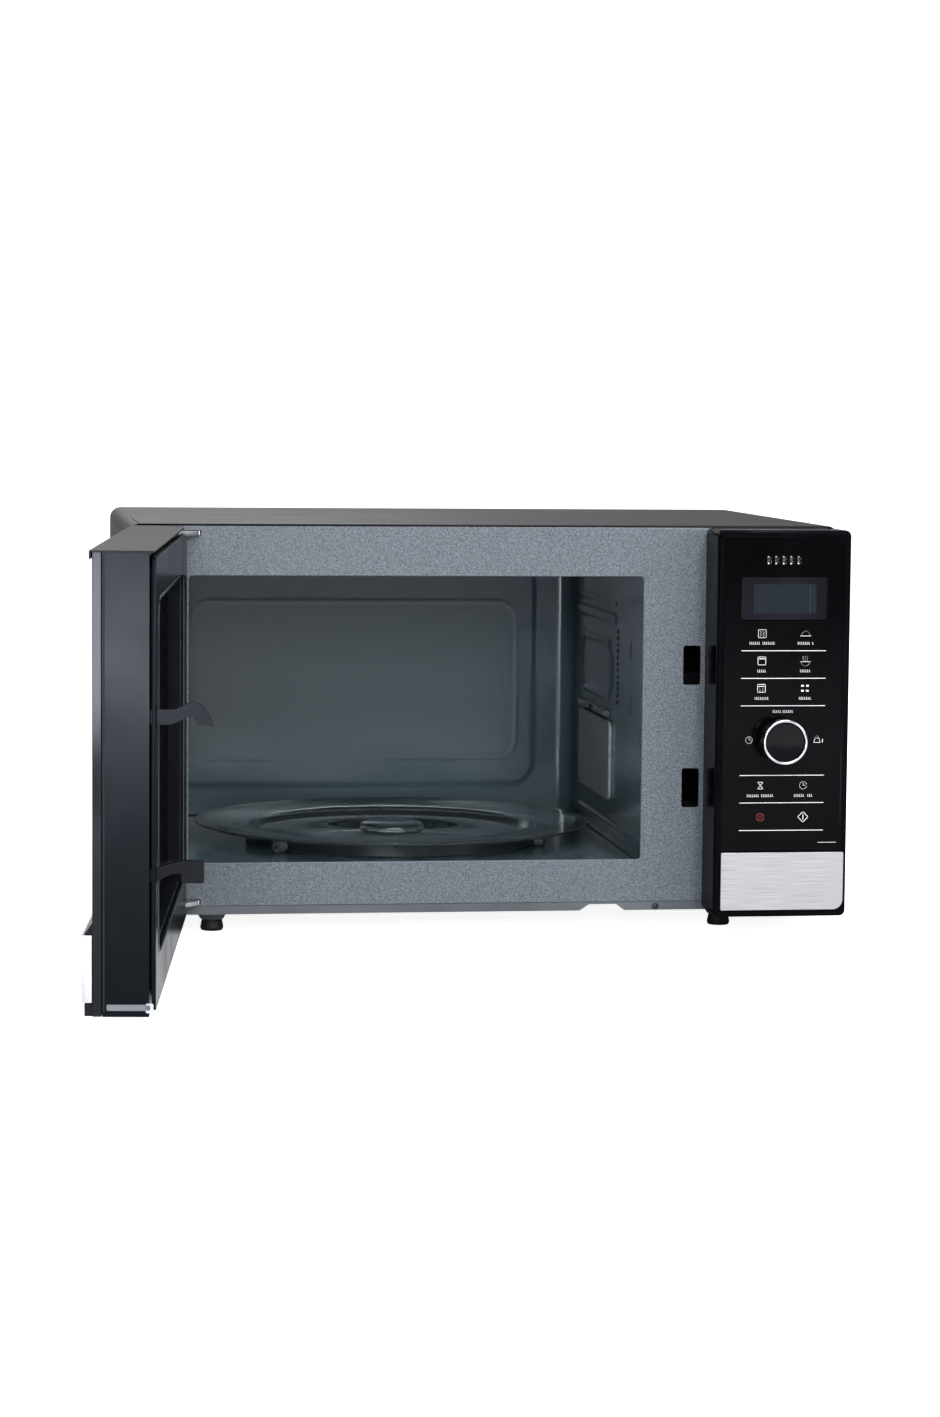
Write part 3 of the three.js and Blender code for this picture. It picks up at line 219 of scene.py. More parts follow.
def vary_roughness(material, noise, low, high):
    tree = material.node_tree
    spread = add_node(tree, "ShaderNodeMapRange", Value=noise, To_Min=low, To_Max=high)
    tree.links.new(spread.outputs["Result"], shader_of(material).inputs["Roughness"])


def roughen(material, noise, strength, depth_mm):
    tree = material.node_tree
    bump = add_node(tree, "ShaderNodeBump", Height=noise, Strength=strength, Distance=depth_mm * MM)
    tree.links.new(bump.outputs["Normal"], shader_of(material).inputs["Normal"])


def paler(colour, times):
    return tuple(c * times for c in colour)


def powder_coat(name, colour, roughness=0.42, specular=0.2):
    """Baked powder coat: a fine orange peel and a slightly uneven sheen."""
    material = new_material(name, colour, roughness, specular=specular)
    patches = pattern_on(material, 14, 2)
    vary_colour(material, patches, colour, paler(colour, 1.35))
    vary_roughness(material, patches, roughness - 0.05, roughness + 0.06)
    roughen(material, pattern_on(material, 900, 3), 0.25, 0.12)
    return material


def carried(node, name, material, bevel_mm=0.0, segments=2, angle=30):
    """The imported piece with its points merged, smooth where it bends and its edges rounded."""
    mesh = frame["nodes"][node].data.copy()
    mesh.name = name
    shape = bmesh.new()
    shape.from_mesh(mesh)
    bmesh.ops.remove_doubles(shape, verts=shape.verts, dist=2e-6)
    if bevel_mm:
        bmesh.ops.dissolve_limit(shape, angle_limit=0.01, verts=shape.verts, edges=shape.edges)
    shape.to_mesh(mesh)
    shape.free()
    mesh.polygons.foreach_set("use_smooth", [True] * len(mesh.polygons))
    mesh.set_sharp_from_angle(angle=math.radians(angle))
    mesh.materials.clear()
    mesh.materials.append(material)
    piece = put(name, mesh)
    if bevel_mm:
        bevel = piece.modifiers.new("edges", "BEVEL")
        bevel.width = bevel_mm * MM
        bevel.segments = segments
        bevel.limit_method = "ANGLE"
        bevel.angle_limit = math.radians(angle)
        bevel.harden_normals = True
    else:
        piece.modifiers.new("level_normals", "WEIGHTED_NORMAL").keep_sharp = True
    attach(piece, frame["nodes"][node]["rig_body"])
    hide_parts(node)
    return piece


def mesh_piece(name, points, faces, material, body, smooth=True):
    mesh = bpy.data.meshes.new(name)
    mesh.from_pydata([tuple(p) for p in points], [], faces)
    mesh.polygons.foreach_set("use_smooth", [smooth] * len(mesh.polygons))
    mesh.materials.append(material)
    mesh.validate()
    mesh.update()
    piece = put(name, mesh)
    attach(piece, body)
    return piece


def swept(name, path, radius, material, body, sides=10, closed=False):
    """A round bar along a path, with its ends closed."""
    points, faces = [], []
    count = len(path)
    for i, centre in enumerate(path):
        before = path[(i - 1) % count] if closed or i else path[0]
        after = path[(i + 1) % count] if closed or i < count - 1 else path[-1]
        along = (Vector(after) - Vector(before)).normalized()
        aside = along.cross(Vector((0, 1, 0)) if abs(along.y) < 0.9 else Vector((0, 0, 1))).normalized()
        upward = aside.cross(along)
        for k in range(sides):
            angle = 2 * math.pi * k / sides
            outward = math.cos(angle) * aside + math.sin(angle) * upward
            points.append(Vector(centre) + radius * outward)
    rows = count if closed else count - 1
    for i in range(rows):
        for k in range(sides):
            a, b = i * sides + k, i * sides + (k + 1) % sides
            c, d = ((i + 1) % count) * sides + (k + 1) % sides, ((i + 1) % count) * sides + k
            faces.append((a, d, c, b))
    if not closed:
        faces.append(tuple(range(sides)))
        faces.append(tuple(reversed(range((count - 1) * sides, count * sides))))
    piece = mesh_piece(name, points, faces, material, body)
    face_outwards(piece)
    return piece


def face_outwards(piece):
    shape = bmesh.new()
    shape.from_mesh(piece.data)
    bmesh.ops.remove_doubles(shape, verts=shape.verts, dist=1e-6)
    bmesh.ops.recalc_face_normals(shape, faces=shape.faces)
    shape.to_mesh(piece.data)
    shape.free()


cover_coat = powder_coat("cover_coat", COVER_COLOUR)
carried("outer_cover", "cover", cover_coat)

cover_low, cover_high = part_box("outer_cover")
hem_radius = 0.9 * MM
bend = 8 * MM
hem_path = []
for i in range(2):
    side = 1 if i else -1
    edge_x = (cover_high.x if i else cover_low.x) - side * hem_radius
    corner = [
        (
            edge_x - side * (bend - (bend - hem_radius) * math.cos(t)) + side * hem_radius,
            cover_high.z - bend + (bend - hem_radius) * math.sin(t),
        )
        for t in np.linspace(0, math.pi / 2, 8)
    ]
    leg = [(edge_x, cover_low.z + 1 * MM)] + corner
    hem_path += leg if not i else leg[::-1]
hem_points = [(x, cover_low.y + hem_radius, z) for x, z in hem_path]
swept("cover_hem", hem_points, hem_radius, cover_coat, "case")

# ---- Case screws ----
# The cover is held by black-zinc pan-head screws with a cross recess: two low on each side
# and a row along the rear edge.
def spot(x, y, z):
    """A place on the case: mm from its middle, from the panel's front and from the table."""
    return Vector((case_middle + x * MM, panel_low.y + y * MM, z * MM))


def new_tree(name, sizes, counts=()):
    """An empty node tree with its named inputs, and its input node."""
    tree = bpy.data.node_groups.new(name, "GeometryNodeTree")
    sockets = tree.interface
    sockets.new_socket("Geometry", in_out="INPUT", socket_type="NodeSocketGeometry")
    for kind, wanted in (("NodeSocketFloat", sizes), ("NodeSocketInt", counts)):
        for label, value in wanted:
            sockets.new_socket(label, in_out="INPUT", socket_type=kind).default_value = value
    sockets.new_socket("Geometry", in_out="OUTPUT", socket_type="NodeSocketGeometry")
    return tree, tree.nodes.new("NodeGroupInput").outputs


def finish_tree(tree, points, shape, material):
    """Sets a shape on every point, makes it real and gives it its material."""
    place = add_node(tree, "GeometryNodeInstanceOnPoints", Points=points, Instance=shape)
    real = add_node(tree, "GeometryNodeRealizeInstances", place.outputs[0])
    paint = add_node(tree, "GeometryNodeSetMaterial", Geometry=real.outputs[0], Material=material)
    add_node(tree, "NodeGroupOutput", paint.outputs[0])
    return tree


def head_tree(name, material):
    """Screw heads on the points of a mesh, facing +Z, each with a cross recess."""
    sizes = (("Head Radius", 3.2), ("Head Height", 1.6), ("Recess Width", 0.9))
    tree, given = new_tree(name, sizes)
    radius, height = given["Head Radius"], given["Head Height"]
    dome = add_node(tree, "GeometryNodeMeshUVSphere", Segments=20, Rings=10, Radius=radius)
    ratio = add_node(tree, "ShaderNodeMath", height, radius, operation="DIVIDE")
    flat = add_node(tree, "ShaderNodeCombineXYZ", X=1, Y=1, Z=ratio.outputs[0])
    head = add_node(
        tree, "GeometryNodeTransform", Geometry=dome.outputs["Mesh"], Scale=flat.outputs[0]
    )
    recess = tree.nodes.new("GeometryNodeJoinGeometry")
    for turn in (0.0, math.pi / 2):
        size = add_node(tree, "ShaderNodeCombineXYZ", X=radius, Y=given["Recess Width"], Z=height)
        blade = add_node(tree, "GeometryNodeMeshCube", Size=size.outputs[0])
        lift = add_node(tree, "ShaderNodeCombineXYZ", Z=height)
        raised_blade = add_node(
            tree,
            "GeometryNodeTransform",
            Geometry=blade.outputs["Mesh"],
            Translation=lift.outputs[0],
            Rotation=(0, 0, turn),
        )
        tree.links.new(raised_blade.outputs[0], recess.inputs[0])
    cutter = add_node(
        tree, "GeometryNodeMeshBoolean", head.outputs[0], recess.outputs[0], operation="DIFFERENCE"
    )
    points = add_node(tree, "GeometryNodeMeshToPoints", Mesh=given["Geometry"])
    return finish_tree(tree, points.outputs[0], cutter.outputs[0], material)


def grown(name, tree, sizes, groups, body):
    """Runs a tree on flat points (mm) and lays the result by each group's own placing."""
    spots, faces = [], []
    for places, lay in groups:
        base = bpy.data.meshes.new(name + "_points")
        base.from_pydata([(a, b, 0) for a, b in places], [], [])
        holder = put(name + "_points", base)
        growth = holder.modifiers.new("repeat", "NODES")
        growth.node_group = tree
        for item in tree.interface.items_tree:
            if item.in_out == "INPUT" and item.name in sizes:
                growth[item.identifier] = sizes[item.name]
        holder.update_tag()
        ready = holder.evaluated_get(bpy.context.evaluated_depsgraph_get())
        mesh = bpy.data.meshes.new_from_object(ready)
        bpy.data.objects.remove(holder)
        start = len(spots)
        spots += [lay(*v.co) for v in mesh.vertices]
        faces += [[start + i for i in p.vertices] for p in mesh.polygons]
        material = next(m for m in mesh.materials if m)
    piece = mesh_piece(name, spots, faces, material, body)
    piece.data.set_sharp_from_angle(angle=math.radians(40))
    return piece


screw_zinc = new_material("screw_black_zinc", (0.03, 0.03, 0.032), 0.35, 0.7)
scuffs = pattern_on(screw_zinc, 700, 3)
vary_roughness(screw_zinc, scuffs, 0.25, 0.5)
vary_colour(screw_zinc, scuffs, (0.02, 0.02, 0.022), (0.06, 0.06, 0.062))
screw_heads = head_tree("case_screw_heads", screw_zinc)
side_spots = [(150, 24), (350, 24)]
rear_spots = [(-232, 30), (-232, 150), (-232, 262), (-40, 268), (120, 24), (-120, 24), (232, 150)]
REAR_FACE = 386
SEAT = 0.2
case_screws = grown(
    "case_screws",
    screw_heads,
    {"Head Radius": 3.3, "Head Height": 1.5, "Recess Width": 0.9},
    [
        (side_spots, lambda a, b, c: spot(HALF_WIDTH + c - SEAT, a, b)),
        (side_spots, lambda a, b, c: spot(-HALF_WIDTH - c + SEAT, a, b)),
        (rear_spots, lambda a, b, c: spot(a, REAR_FACE + c - SEAT, b)),
    ],
    "case",
)
face_outwards(case_screws)

# ---- Rear, floor and feet ----
# The rear panel is sheet steel coated like the cover, and the base grey-coated sheet steel, both with
# punched vents. Four rubber feet are pressed into coned bosses; two plastic spacers keep the oven off a
# wall.
zinc = new_material("zinc_sheet", (0.42, 0.43, 0.44), 0.38, 0.9)
spangle = pattern_on(zinc, 90, 0, cells=True)
vary_roughness(zinc, spangle, 0.28, 0.5)
zinc_cloud = pattern_on(zinc, 35, 3)
vary_colour(zinc, zinc_cloud, (0.33, 0.34, 0.36), (0.48, 0.49, 0.50))
base_coat = powder_coat("base_coat", (0.085, 0.093, 0.10), 0.4)
rubber = new_material("black_rubber", (0.012, 0.012, 0.012), 0.62)
rubber_grain = pattern_on(rubber, 1400, 2)
roughen(rubber, rubber_grain, 0.3, 0.15)
vary_roughness(rubber, rubber_grain, 0.5, 0.75)


def moulded(name, colour, roughness=0.4, specular=0.5):
    """Moulded plastic: a fine spark-eroded grain and a little unevenness of colour."""
    material = new_material(name, colour, roughness, specular=specular)
    fine = pattern_on(material, 2200, 2)
    vary_colour(material, pattern_on(material, 30, 2), colour, paler(colour, 1.25))
    vary_roughness(material, fine, roughness - 0.06, roughness + 0.08)
    roughen(material, fine, 0.25, 0.05)
    return material


black_plastic = moulded("black_plastic", (0.018, 0.018, 0.02))
carried("rear_panel", "rear_sheet", cover_coat)
carried("base_plate", "base_pan", base_coat)
for foot in ("front_left", "front_right", "rear_left", "rear_right"):
    carried(f"foot_{foot}", f"rubber_{foot}", rubber, 0.4, 3)
for side in ("left", "right"):
    carried(f"rear_spacer_{side}", f"spacer_{side}", black_plastic, 0.4)
carried("cord_gland", "gland", black_plastic)

# ---- Face plate ----
# The cavity's front frame: blue-grey speckled enamel on steel, with a rolled edge round the
# opening, two latch slots on the right and a small screw.
FACE_COLOUR = (0.098, 0.112, 0.126)


def speckled(name, colour, roughness, fleck=0.48, scale=950):
    """Fired enamel: pale and dark flecks in a satin coat with a slight orange peel."""
    material = new_material(name, colour, roughness)
    flecks = pattern_on(material, scale, 3, rough=0.7)
    vary_colour(material, flecks, paler(colour, 1 - fleck), paler(colour, 1 + fleck * 1.3), 0.36, 0.66)
    vary_roughness(material, flecks, roughness - 0.05, roughness + 0.08)
    roughen(material, pattern_on(material, 600, 2), 0.2, 0.08)
    return material


face_enamel = speckled("face_enamel", FACE_COLOUR, 0.42)
carried("oven_face_plate", "face_frame", face_enamel)


def rounded_loop(x0, x1, z0, z1, radii, steps=8):
    """A rounded rectangle, counter-clockwise from its bottom left corner."""
    if not isinstance(radii, (tuple, list)):
        radii = (radii,) * 4
    centres = (
        (x0 + radii[0], z0 + radii[0], 180),
        (x1 - radii[1], z0 + radii[1], 270),
        (x1 - radii[2], z1 - radii[2], 0),
        (x0 + radii[3], z1 - radii[3], 90),
    )
    loop = []
    for (cx, cz, start), radius in zip(centres, radii):
        for i in range(steps + 1):
            angle = math.radians(start + 90 * i / steps)
            loop.append((cx + radius * math.cos(angle), cz + radius * math.sin(angle)))
    return loop


FACE_FRONT = 38.5
ROLL_LEVEL = 39.3
opening_edge = rounded_loop(-204.3, 108.8, 48.0, 244.7, 3)
roll_path = [spot(x, ROLL_LEVEL, z) for x, z in opening_edge]
swept("opening_roll", roll_path, 0.9 * MM, face_enamel, "case", closed=True)
grown(
    "face_screws",
    screw_heads,
    {"Head Radius": 2.4, "Head Height": 0.8, "Recess Width": 0.7},
    [([(119, 16)], lambda a, b, c: spot(a, FACE_FRONT - c, b))],
    "case",
)

# ---- Cavity ----
# Walls and back are one pressed liner of sheet steel in dark grey enamel: rounded rear
# corners, soft ridges that stiffen it, the eight-sided pressing and rails on the sides.
CAVITY_COLOUR = (0.082, 0.112, 0.126)
cavity_enamel = speckled("cavity_enamel", CAVITY_COLOUR, 0.18, 0.1, 1900)
wall_left, wall_right, wall_front, wall_back = -204.9, 109.4, 39.6, 344.8
corner_radius = 12.0
liner_step = 1.6


def box_distance(a, b, a0, a1, b0, b1, radius):
    """How far a point is from the outline of a rounded rectangle, less than 0 inside."""
    qa = np.abs(a - (a0 + a1) / 2) - ((a1 - a0) / 2 - radius)
    qb = np.abs(b - (b0 + b1) / 2) - ((b1 - b0) / 2 - radius)
    return np.hypot(np.maximum(qa, 0), np.maximum(qb, 0)) + np.minimum(np.maximum(qa, qb), 0) - radius


def eight_sided(a, b, a_half, b_half, corner):
    skew = (np.abs(a) + np.abs(b) - (a_half + b_half - corner)) / math.sqrt(2)
    return np.maximum(np.maximum(np.abs(a) - a_half, np.abs(b) - b_half), skew)


def ridge(distance, width, height=1.4):
    t = np.clip(1 - np.abs(distance) / width, 0, 1)
    return height * t * t * (3 - 2 * t)


def raised(distance, slope, height=1.4):
    t = np.clip(-distance / slope, 0, 1)
    return height * t * t * (3 - 2 * t)


def corner_turn(x, start, end, way):
    """The liner's path round one rear corner, with the way each place faces."""
    stops = []
    for t in np.linspace(start, end, 9):
        stops.append((
            x + way * corner_radius - way * corner_radius * math.cos(t),
            wall_back - corner_radius + corner_radius * math.sin(t),
            way * math.cos(t), -math.sin(t), "corner",
        ))
    return stops


liner_path = []
for y in np.arange(wall_front, wall_back - corner_radius, liner_step):
    liner_path.append((wall_left, y, 1.0, 0.0, "left"))
liner_path += corner_turn(wall_left, 0, math.pi / 2, 1)
for x in np.arange(wall_left + corner_radius + liner_step, wall_right - corner_radius, liner_step):
    liner_path.append((x, wall_back, 0.0, -1.0, "back"))
liner_path += corner_turn(wall_right, math.pi / 2, 0, -1)
for y in np.arange(wall_back - corner_radius - liner_step, wall_front, -liner_step):
    liner_path.append((wall_right, y, -1.0, 0.0, "right"))
liner_path.append((wall_right, wall_front, -1.0, 0.0, "right"))
levels = np.linspace(45.2, 245.9, 126)
PRESSING_Y, PRESSING_Z = 227.5, 169
liner_points = []
for x, y, nx, ny, side in liner_path:
    rail = ridge(box_distance(y, levels, 87, 337, 53.5, 57.5, 1.9), 3.0)
    if side == "back":
        bump = ridge(box_distance(x, levels, -184, 66, 88, 209, 15), 2.6)
        bump = np.maximum(bump, raised(box_distance(x, levels, -200, 82, 66, 242, 20), 4.0, 1.0))
    elif side == "right":
        bump = ridge(eight_sided(y - PRESSING_Y, levels - PRESSING_Z, 63, 20, 11), 3.2, 1.5)
        bump = np.maximum(bump, ridge(box_distance(y, levels, 148.5, 310, 205.8, 208.8, 1.4), 3.0))
        bump = np.maximum(bump, ridge(box_distance(y, levels, 148.5, 316, 218, 218.6, 0.3), 2.0, 0.9))
        bump = np.maximum(bump, rail)
    elif side == "left":
        bump = rail
    else:
        bump = 0 * levels
    for z, rise in zip(levels, bump):
        liner_points.append(spot(x + nx * rise, y + ny * rise, z))
rows = len(levels)
liner_faces = [
    (i * rows + k, (i + 1) * rows + k, (i + 1) * rows + k + 1, i * rows + k + 1)
    for i in range(len(liner_path) - 1)
    for k in range(rows - 1)
]
liner = mesh_piece("cavity_liner", liner_points, liner_faces, cavity_enamel, "case")
liner_wall = liner.modifiers.new("sheet", "SOLIDIFY")
liner_wall.thickness = 0.7 * MM
liner_wall.offset = -1
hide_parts("cavity_wrapper", "cavity_back")
carried("cavity_floor", "liner_floor", cavity_enamel)


def plate(name, loops, near, far, lay, material, body, edge=0.3):
    """A flat part with rounded edges: the first loop is its outline, the others its holes."""
    outline = bpy.data.curves.new(name, "CURVE")
    outline.dimensions = "2D"
    outline.fill_mode = "BOTH"
    outline.extrude = (far - near) / 2 - edge
    outline.bevel_depth = edge
    outline.bevel_resolution = 1
    outline.offset = -edge
    for i, loop in enumerate(loops):
        spline = outline.splines.new("POLY")
        spline.points.add(len(loop) - 1)
        for point, (a, b) in zip(spline.points, loop if i == 0 else loop[::-1]):
            point.co = (a, b, 0, 1)
        spline.use_cyclic_u = True
    holder = put(name + "_outline", outline)
    mesh = bpy.data.meshes.new_from_object(holder.evaluated_get(bpy.context.evaluated_depsgraph_get()))
    bpy.data.objects.remove(holder)
    bpy.data.curves.remove(outline)
    middle = (near + far) / 2
    points = [lay(v.co.x, middle - v.co.z, v.co.y) for v in mesh.vertices]
    piece = mesh_piece(name, points, [list(p.vertices) for p in mesh.polygons], material, body)
    face_outwards(piece)
    piece.data.set_sharp_from_angle(angle=math.radians(15))
    return piece


ceiling_loop = rounded_loop(-205, 109.5, 39.5, 344.9, 2)
SLOT_STEP, SLOT_HALF = 18, 4.5
cavity_middle = -47.75
slot_middles = [cavity_middle + i * SLOT_STEP for i in range(-4, 5)]
grill_slots = [rounded_loop(x - SLOT_HALF, x + SLOT_HALF, 121, 251, 3) for x in slot_middles]
plate(
    "liner_ceiling",
    [ceiling_loop] + grill_slots,
    246.0,
    246.9,
    lambda a, c, b: spot(a, b, c),
    cavity_enamel,
    "case",
    0.2,
)


def slot_tree(name, material):
    """Punched holes drawn as lozenges of painted shade with rounded ends, one on each point."""
    tree, given = new_tree(name, (("Slot Width", 1.6), ("Slot Height", 3.0), ("Depth", 0.2)))
    drum = add_node(tree, "GeometryNodeMeshCylinder", Vertices=12, Radius=0.5, Depth=1.0)
    width, height, depth = given["Slot Width"], given["Slot Height"], given["Depth"]
    size = add_node(tree, "ShaderNodeCombineXYZ", X=width, Y=height, Z=depth)
    sized = add_node(
        tree, "GeometryNodeTransform", Geometry=drum.outputs["Mesh"], Scale=size.outputs[0]
    )
    points = add_node(tree, "GeometryNodeMeshToPoints", Mesh=given["Geometry"])
    return finish_tree(tree, points.outputs[0], sized.outputs[0], material)


# Painted shade: the punched holes and the groove on the door's free end are not cut. Near-black pieces laid
# on the surface stand for the shade inside them.
hole_shade_black = moulded("hole_shadow", (0.004, 0.004, 0.005), 0.7)
hole_shade_slots = slot_tree("punched_slots", hole_shade_black)
WALL_FACE = 109.35
lamp_holes = [(141.5, 148.5 + 4.6 * i) for i in range(12)]
grown(
    "lamp_perforations",
    hole_shade_slots,
    {"Slot Width": 3.6, "Slot Height": 2.8, "Depth": 0.7},
    [(lamp_holes, lambda a, b, c: spot(WALL_FACE + c, a, b))],
    "case",
)
grown(
    "side_slits",
    hole_shade_slots,
    {"Slot Width": 1.2, "Slot Height": 14.0, "Depth": 0.3},
    [([(90, 190), (90, 150)], lambda a, b, c: spot(WALL_FACE + c, a, b))],
    "case",
)

# ---- Waveguide cover ----
# A sheet of grey mica with rounded corners lies over the mouth of the waveguide, held by a
# bar with one screw; the microwaves pass through it.
mica = new_material("mica_sheet", (0.30, 0.33, 0.34), 0.5)
mica_flakes = pattern_on(mica, 260, 4, cells=True)
vary_colour(mica, mica_flakes, (0.24, 0.27, 0.285), (0.36, 0.39, 0.40), 0.1, 0.7)
vary_roughness(mica, mica_flakes, 0.35, 0.6)
carried("waveguide_cover", "mica_cover", mica, 0.3)
carried("waveguide_clip", "mica_clip", cavity_enamel, 0.5)
mica_screw = grown(
    "mica_screw",
    screw_heads,
    {"Head Radius": 2.6, "Head Height": 1.0, "Recess Width": 0.7},
    [([(227.5, 138)], lambda a, b, c: spot(104.6 - c, a, b))],
    "case",
)
face_outwards(mica_screw)

# ---- Grill and lamp ----
# A sheathed heater bent to and fro under a bright reflector above the ceiling's slots, and
# a small glass lamp in a socket behind the perforations.
heater_steel = new_material("heater_sheath", (0.05, 0.045, 0.042), 0.5, 0.6)
heat_marks = pattern_on(heater_steel, 60, 4)
vary_colour(heater_steel, heat_marks, (0.03, 0.028, 0.03), (0.11, 0.085, 0.07))
lamp_glass = new_material("lamp_glass", (0.95, 0.95, 0.9), 0.05)
shader_of(lamp_glass).inputs["Transmission Weight"].default_value = 0.9
lamp_haze = pattern_on(lamp_glass, 80, 2)
vary_roughness(lamp_glass, lamp_haze, 0.02, 0.15)
white_plastic = moulded("white_plastic", (0.60, 0.58, 0.53), 0.42)
carried("grill_reflector", "reflector", zinc)
carried("grill_heater", "heater", heater_steel)
carried("oven_lamp", "lamp", lamp_glass)
carried("lamp_holder", "lamp_socket", white_plastic, 0.4)

# ---- Power works ----
# Magnetron with its waveguide, the high-voltage transformer and capacitor, the cooling fan
# with its motor and shroud, and the noise filter board, all in the right-hand compartment.
core_steel = new_material("core_laminations", (0.09, 0.085, 0.08), 0.5, 0.5)
laminations = pattern_on(core_steel, 900, 2, (0.02, 1, 0.02))
vary_colour(core_steel, laminations, (0.05, 0.047, 0.045), (0.13, 0.12, 0.115))
roughen(core_steel, laminations, 0.5, 0.2)
winding_wire = new_material("winding_wire", (0.38, 0.14, 0.05), 0.35, 0.6)
turns = pattern_on(winding_wire, 1100, 1, (0.05, 0.05, 1))
vary_colour(winding_wire, turns, (0.25, 0.09, 0.03), (0.50, 0.20, 0.08))
roughen(winding_wire, turns, 0.6, 0.3)
board_green = new_material("circuit_board", (0.03, 0.11, 0.045), 0.35)
tracks = pattern_on(board_green, 240, 0, cells=True)
vary_colour(board_green, tracks, (0.02, 0.08, 0.03), (0.05, 0.16, 0.07), 0.2, 0.5)
vary_roughness(board_green, tracks, 0.3, 0.5)
carried("waveguide", "waveguide_box", zinc)
carried("magnetron", "magnetron_block", zinc)
carried("transformer_core", "core_stack", core_steel, 0.5)
carried("transformer_windings", "wire_coils", winding_wire, 0.8)
carried("high_voltage_capacitor", "capacitor_can", zinc, 0.5)
carried("fan_shroud", "shroud", white_plastic)
carried("fan_motor", "motor_stack", core_steel, 0.5)
carried("fan_blade", "blades", white_plastic)
carried("noise_filter_board", "filter_board", board_green)

# ---- Turntable ----
# A clear tempered glass tray sits on three wheels of a plastic ring and is turned by the
# coupler of the motor under the cavity floor.
tray_low, tray_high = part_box("glass_tray")
tray_x = (tray_low.x + tray_high.x) / 2
tray_y = (tray_low.y + tray_high.y) / 2
glass = new_material("tray_glass", (0.78, 0.85, 0.87), 0.015)
shader_of(glass).inputs["Transmission Weight"].default_value = 0.97
shader_of(glass).inputs["IOR"].default_value = 1.5
glass_smears = pattern_on(glass, 22, 3)
vary_roughness(glass, glass_smears, 0.008, 0.03)
tray_profile = [
    (0, 54.9), (17.5, 54.9), (19.5, 53.5), (20.6, 50.4), (22.5, 49.3), (98.8, 49.3), (100.8, 50.1),
    (102.4, 53.6), (104.5, 54.2), (117, 54.2), (124, 55.2), (131, 56.4), (136.5, 57.3), (141, 58.8),
    (142.4, 59.5), (142.5, 60.0), (141.9, 60.4), (140.8, 60.3), (136.5, 60.0), (128, 58.9), (118, 58.0),
    (112, 57.8), (100.5, 57.8), (99.0, 57.0), (97.2, 53.4), (95.5, 52.9), (25.5, 52.9), (23.6, 53.6),
    (22.4, 57.2), (20.6, 58.5), (0, 58.5),
]


def turned(name, profile, lay, material, body, sides, ring=False, sharp=50):
    """A turned part, from radii and levels in mm: a ring, or solid and closed at its axis."""
    rim = [p for p in profile if p[0] > 0]
    count = len(rim)
    points, faces = [], []
    for i in range(sides):
        angle = 2 * math.pi * i / sides
        j = (i + 1) % sides
        for radius, level in rim:
            across, aside = radius * math.cos(angle) * MM, radius * math.sin(angle) * MM
            points.append(lay(across, aside, level * MM))
        for k in range(count if ring else count - 1):
            m = (k + 1) % count
            faces.append((i * count + k, j * count + k, j * count + m, i * count + m))
    if not ring:
        faces.append([i * count for i in range(sides)])
        faces.append([i * count + count - 1 for i in range(sides)][::-1])
    piece = mesh_piece(name, points, faces, material, body)
    face_outwards(piece)
    piece.data.set_sharp_from_angle(angle=math.radians(sharp))
    return piece


def on_tray_axis(across, aside, level):
    return (tray_x + across, tray_y + aside, level)


tray_body = frame["nodes"]["glass_tray"]["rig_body"]
tray = turned("tray", tray_profile, on_tray_axis, glass, tray_body, 160)
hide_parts("glass_tray")
carried("turntable_motor", "tray_motor", zinc)
carried("turntable_coupler", "coupler_head", white_plastic, 0.3)
ring_plastic = moulded("ring_plastic", (0.03, 0.032, 0.034), 0.35)
wheel_plastic = moulded("wheel_plastic", (0.16, 0.165, 0.17), 0.3)
ring_body = frame["nodes"]["roller_ring"]["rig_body"]


def hoop(name, inner, outer, low, high):
    """A ring with broken edges, standing round the tray's axis."""
    soft = 0.5
    profile = [
        (inner + soft, low), (outer - soft, low), (outer, low + soft), (outer, high - soft),
        (outer - soft, high), (inner + soft, high), (inner, high - soft), (inner, low + soft),
    ]
    return turned(name, profile, on_tray_axis, ring_plastic, ring_body, 120, ring=True, sharp=30)


BOX_FACES = ((0, 1, 2, 3), (7, 6, 5, 4), (0, 4, 5, 1), (1, 5, 6, 2), (2, 6, 7, 3), (3, 7, 4, 0))
RING_FOOT, ARM_TOP, BAND_TOP, AXLE_LEVEL = 46.0, 48.6, 53.2, 49.6
WHEEL_ANGLES = (218, 338, 98)
wheel_ring = hoop("wheel_ring", 103.3, 105.7, RING_FOOT, BAND_TOP)
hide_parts("roller_ring")
hoop("ring_hub", 16.2, 20.2, RING_FOOT, ARM_TOP)
arm_plan = ((18.5, -5), (104.0, -3.6), (104.0, 3.6), (18.5, 5))
for i, angle in enumerate(WHEEL_ANGLES, 1):
    across, aside = math.cos(math.radians(angle)), math.sin(math.radians(angle))
    arm = [
        (tray_x + across * r * MM - aside * w * MM, tray_y + aside * r * MM + across * w * MM, z * MM)
        for z in (RING_FOOT, ARM_TOP)
        for r, w in arm_plan
    ]
    ring_arm = mesh_piece(f"ring_arm_{i}", arm, BOX_FACES, ring_plastic, ring_body, smooth=False)
    face_outwards(ring_arm)
    arm_edge = ring_arm.modifiers.new("edges", "BEVEL")
    arm_edge.width = 0.4 * MM
    arm_edge.segments = 2
    axle_ends = [
        (tray_x + across * r * MM, tray_y + aside * r * MM, AXLE_LEVEL * MM) for r in (104.5, 114.1)
    ]
    swept(f"ring_axle_{i}", axle_ends, 1.4 * MM, ring_plastic, ring_body, 16)
for i in (1, 2, 3):
    carried(f"roller_{i}", f"wheel_{i}", wheel_plastic, 0.4, angle=40)

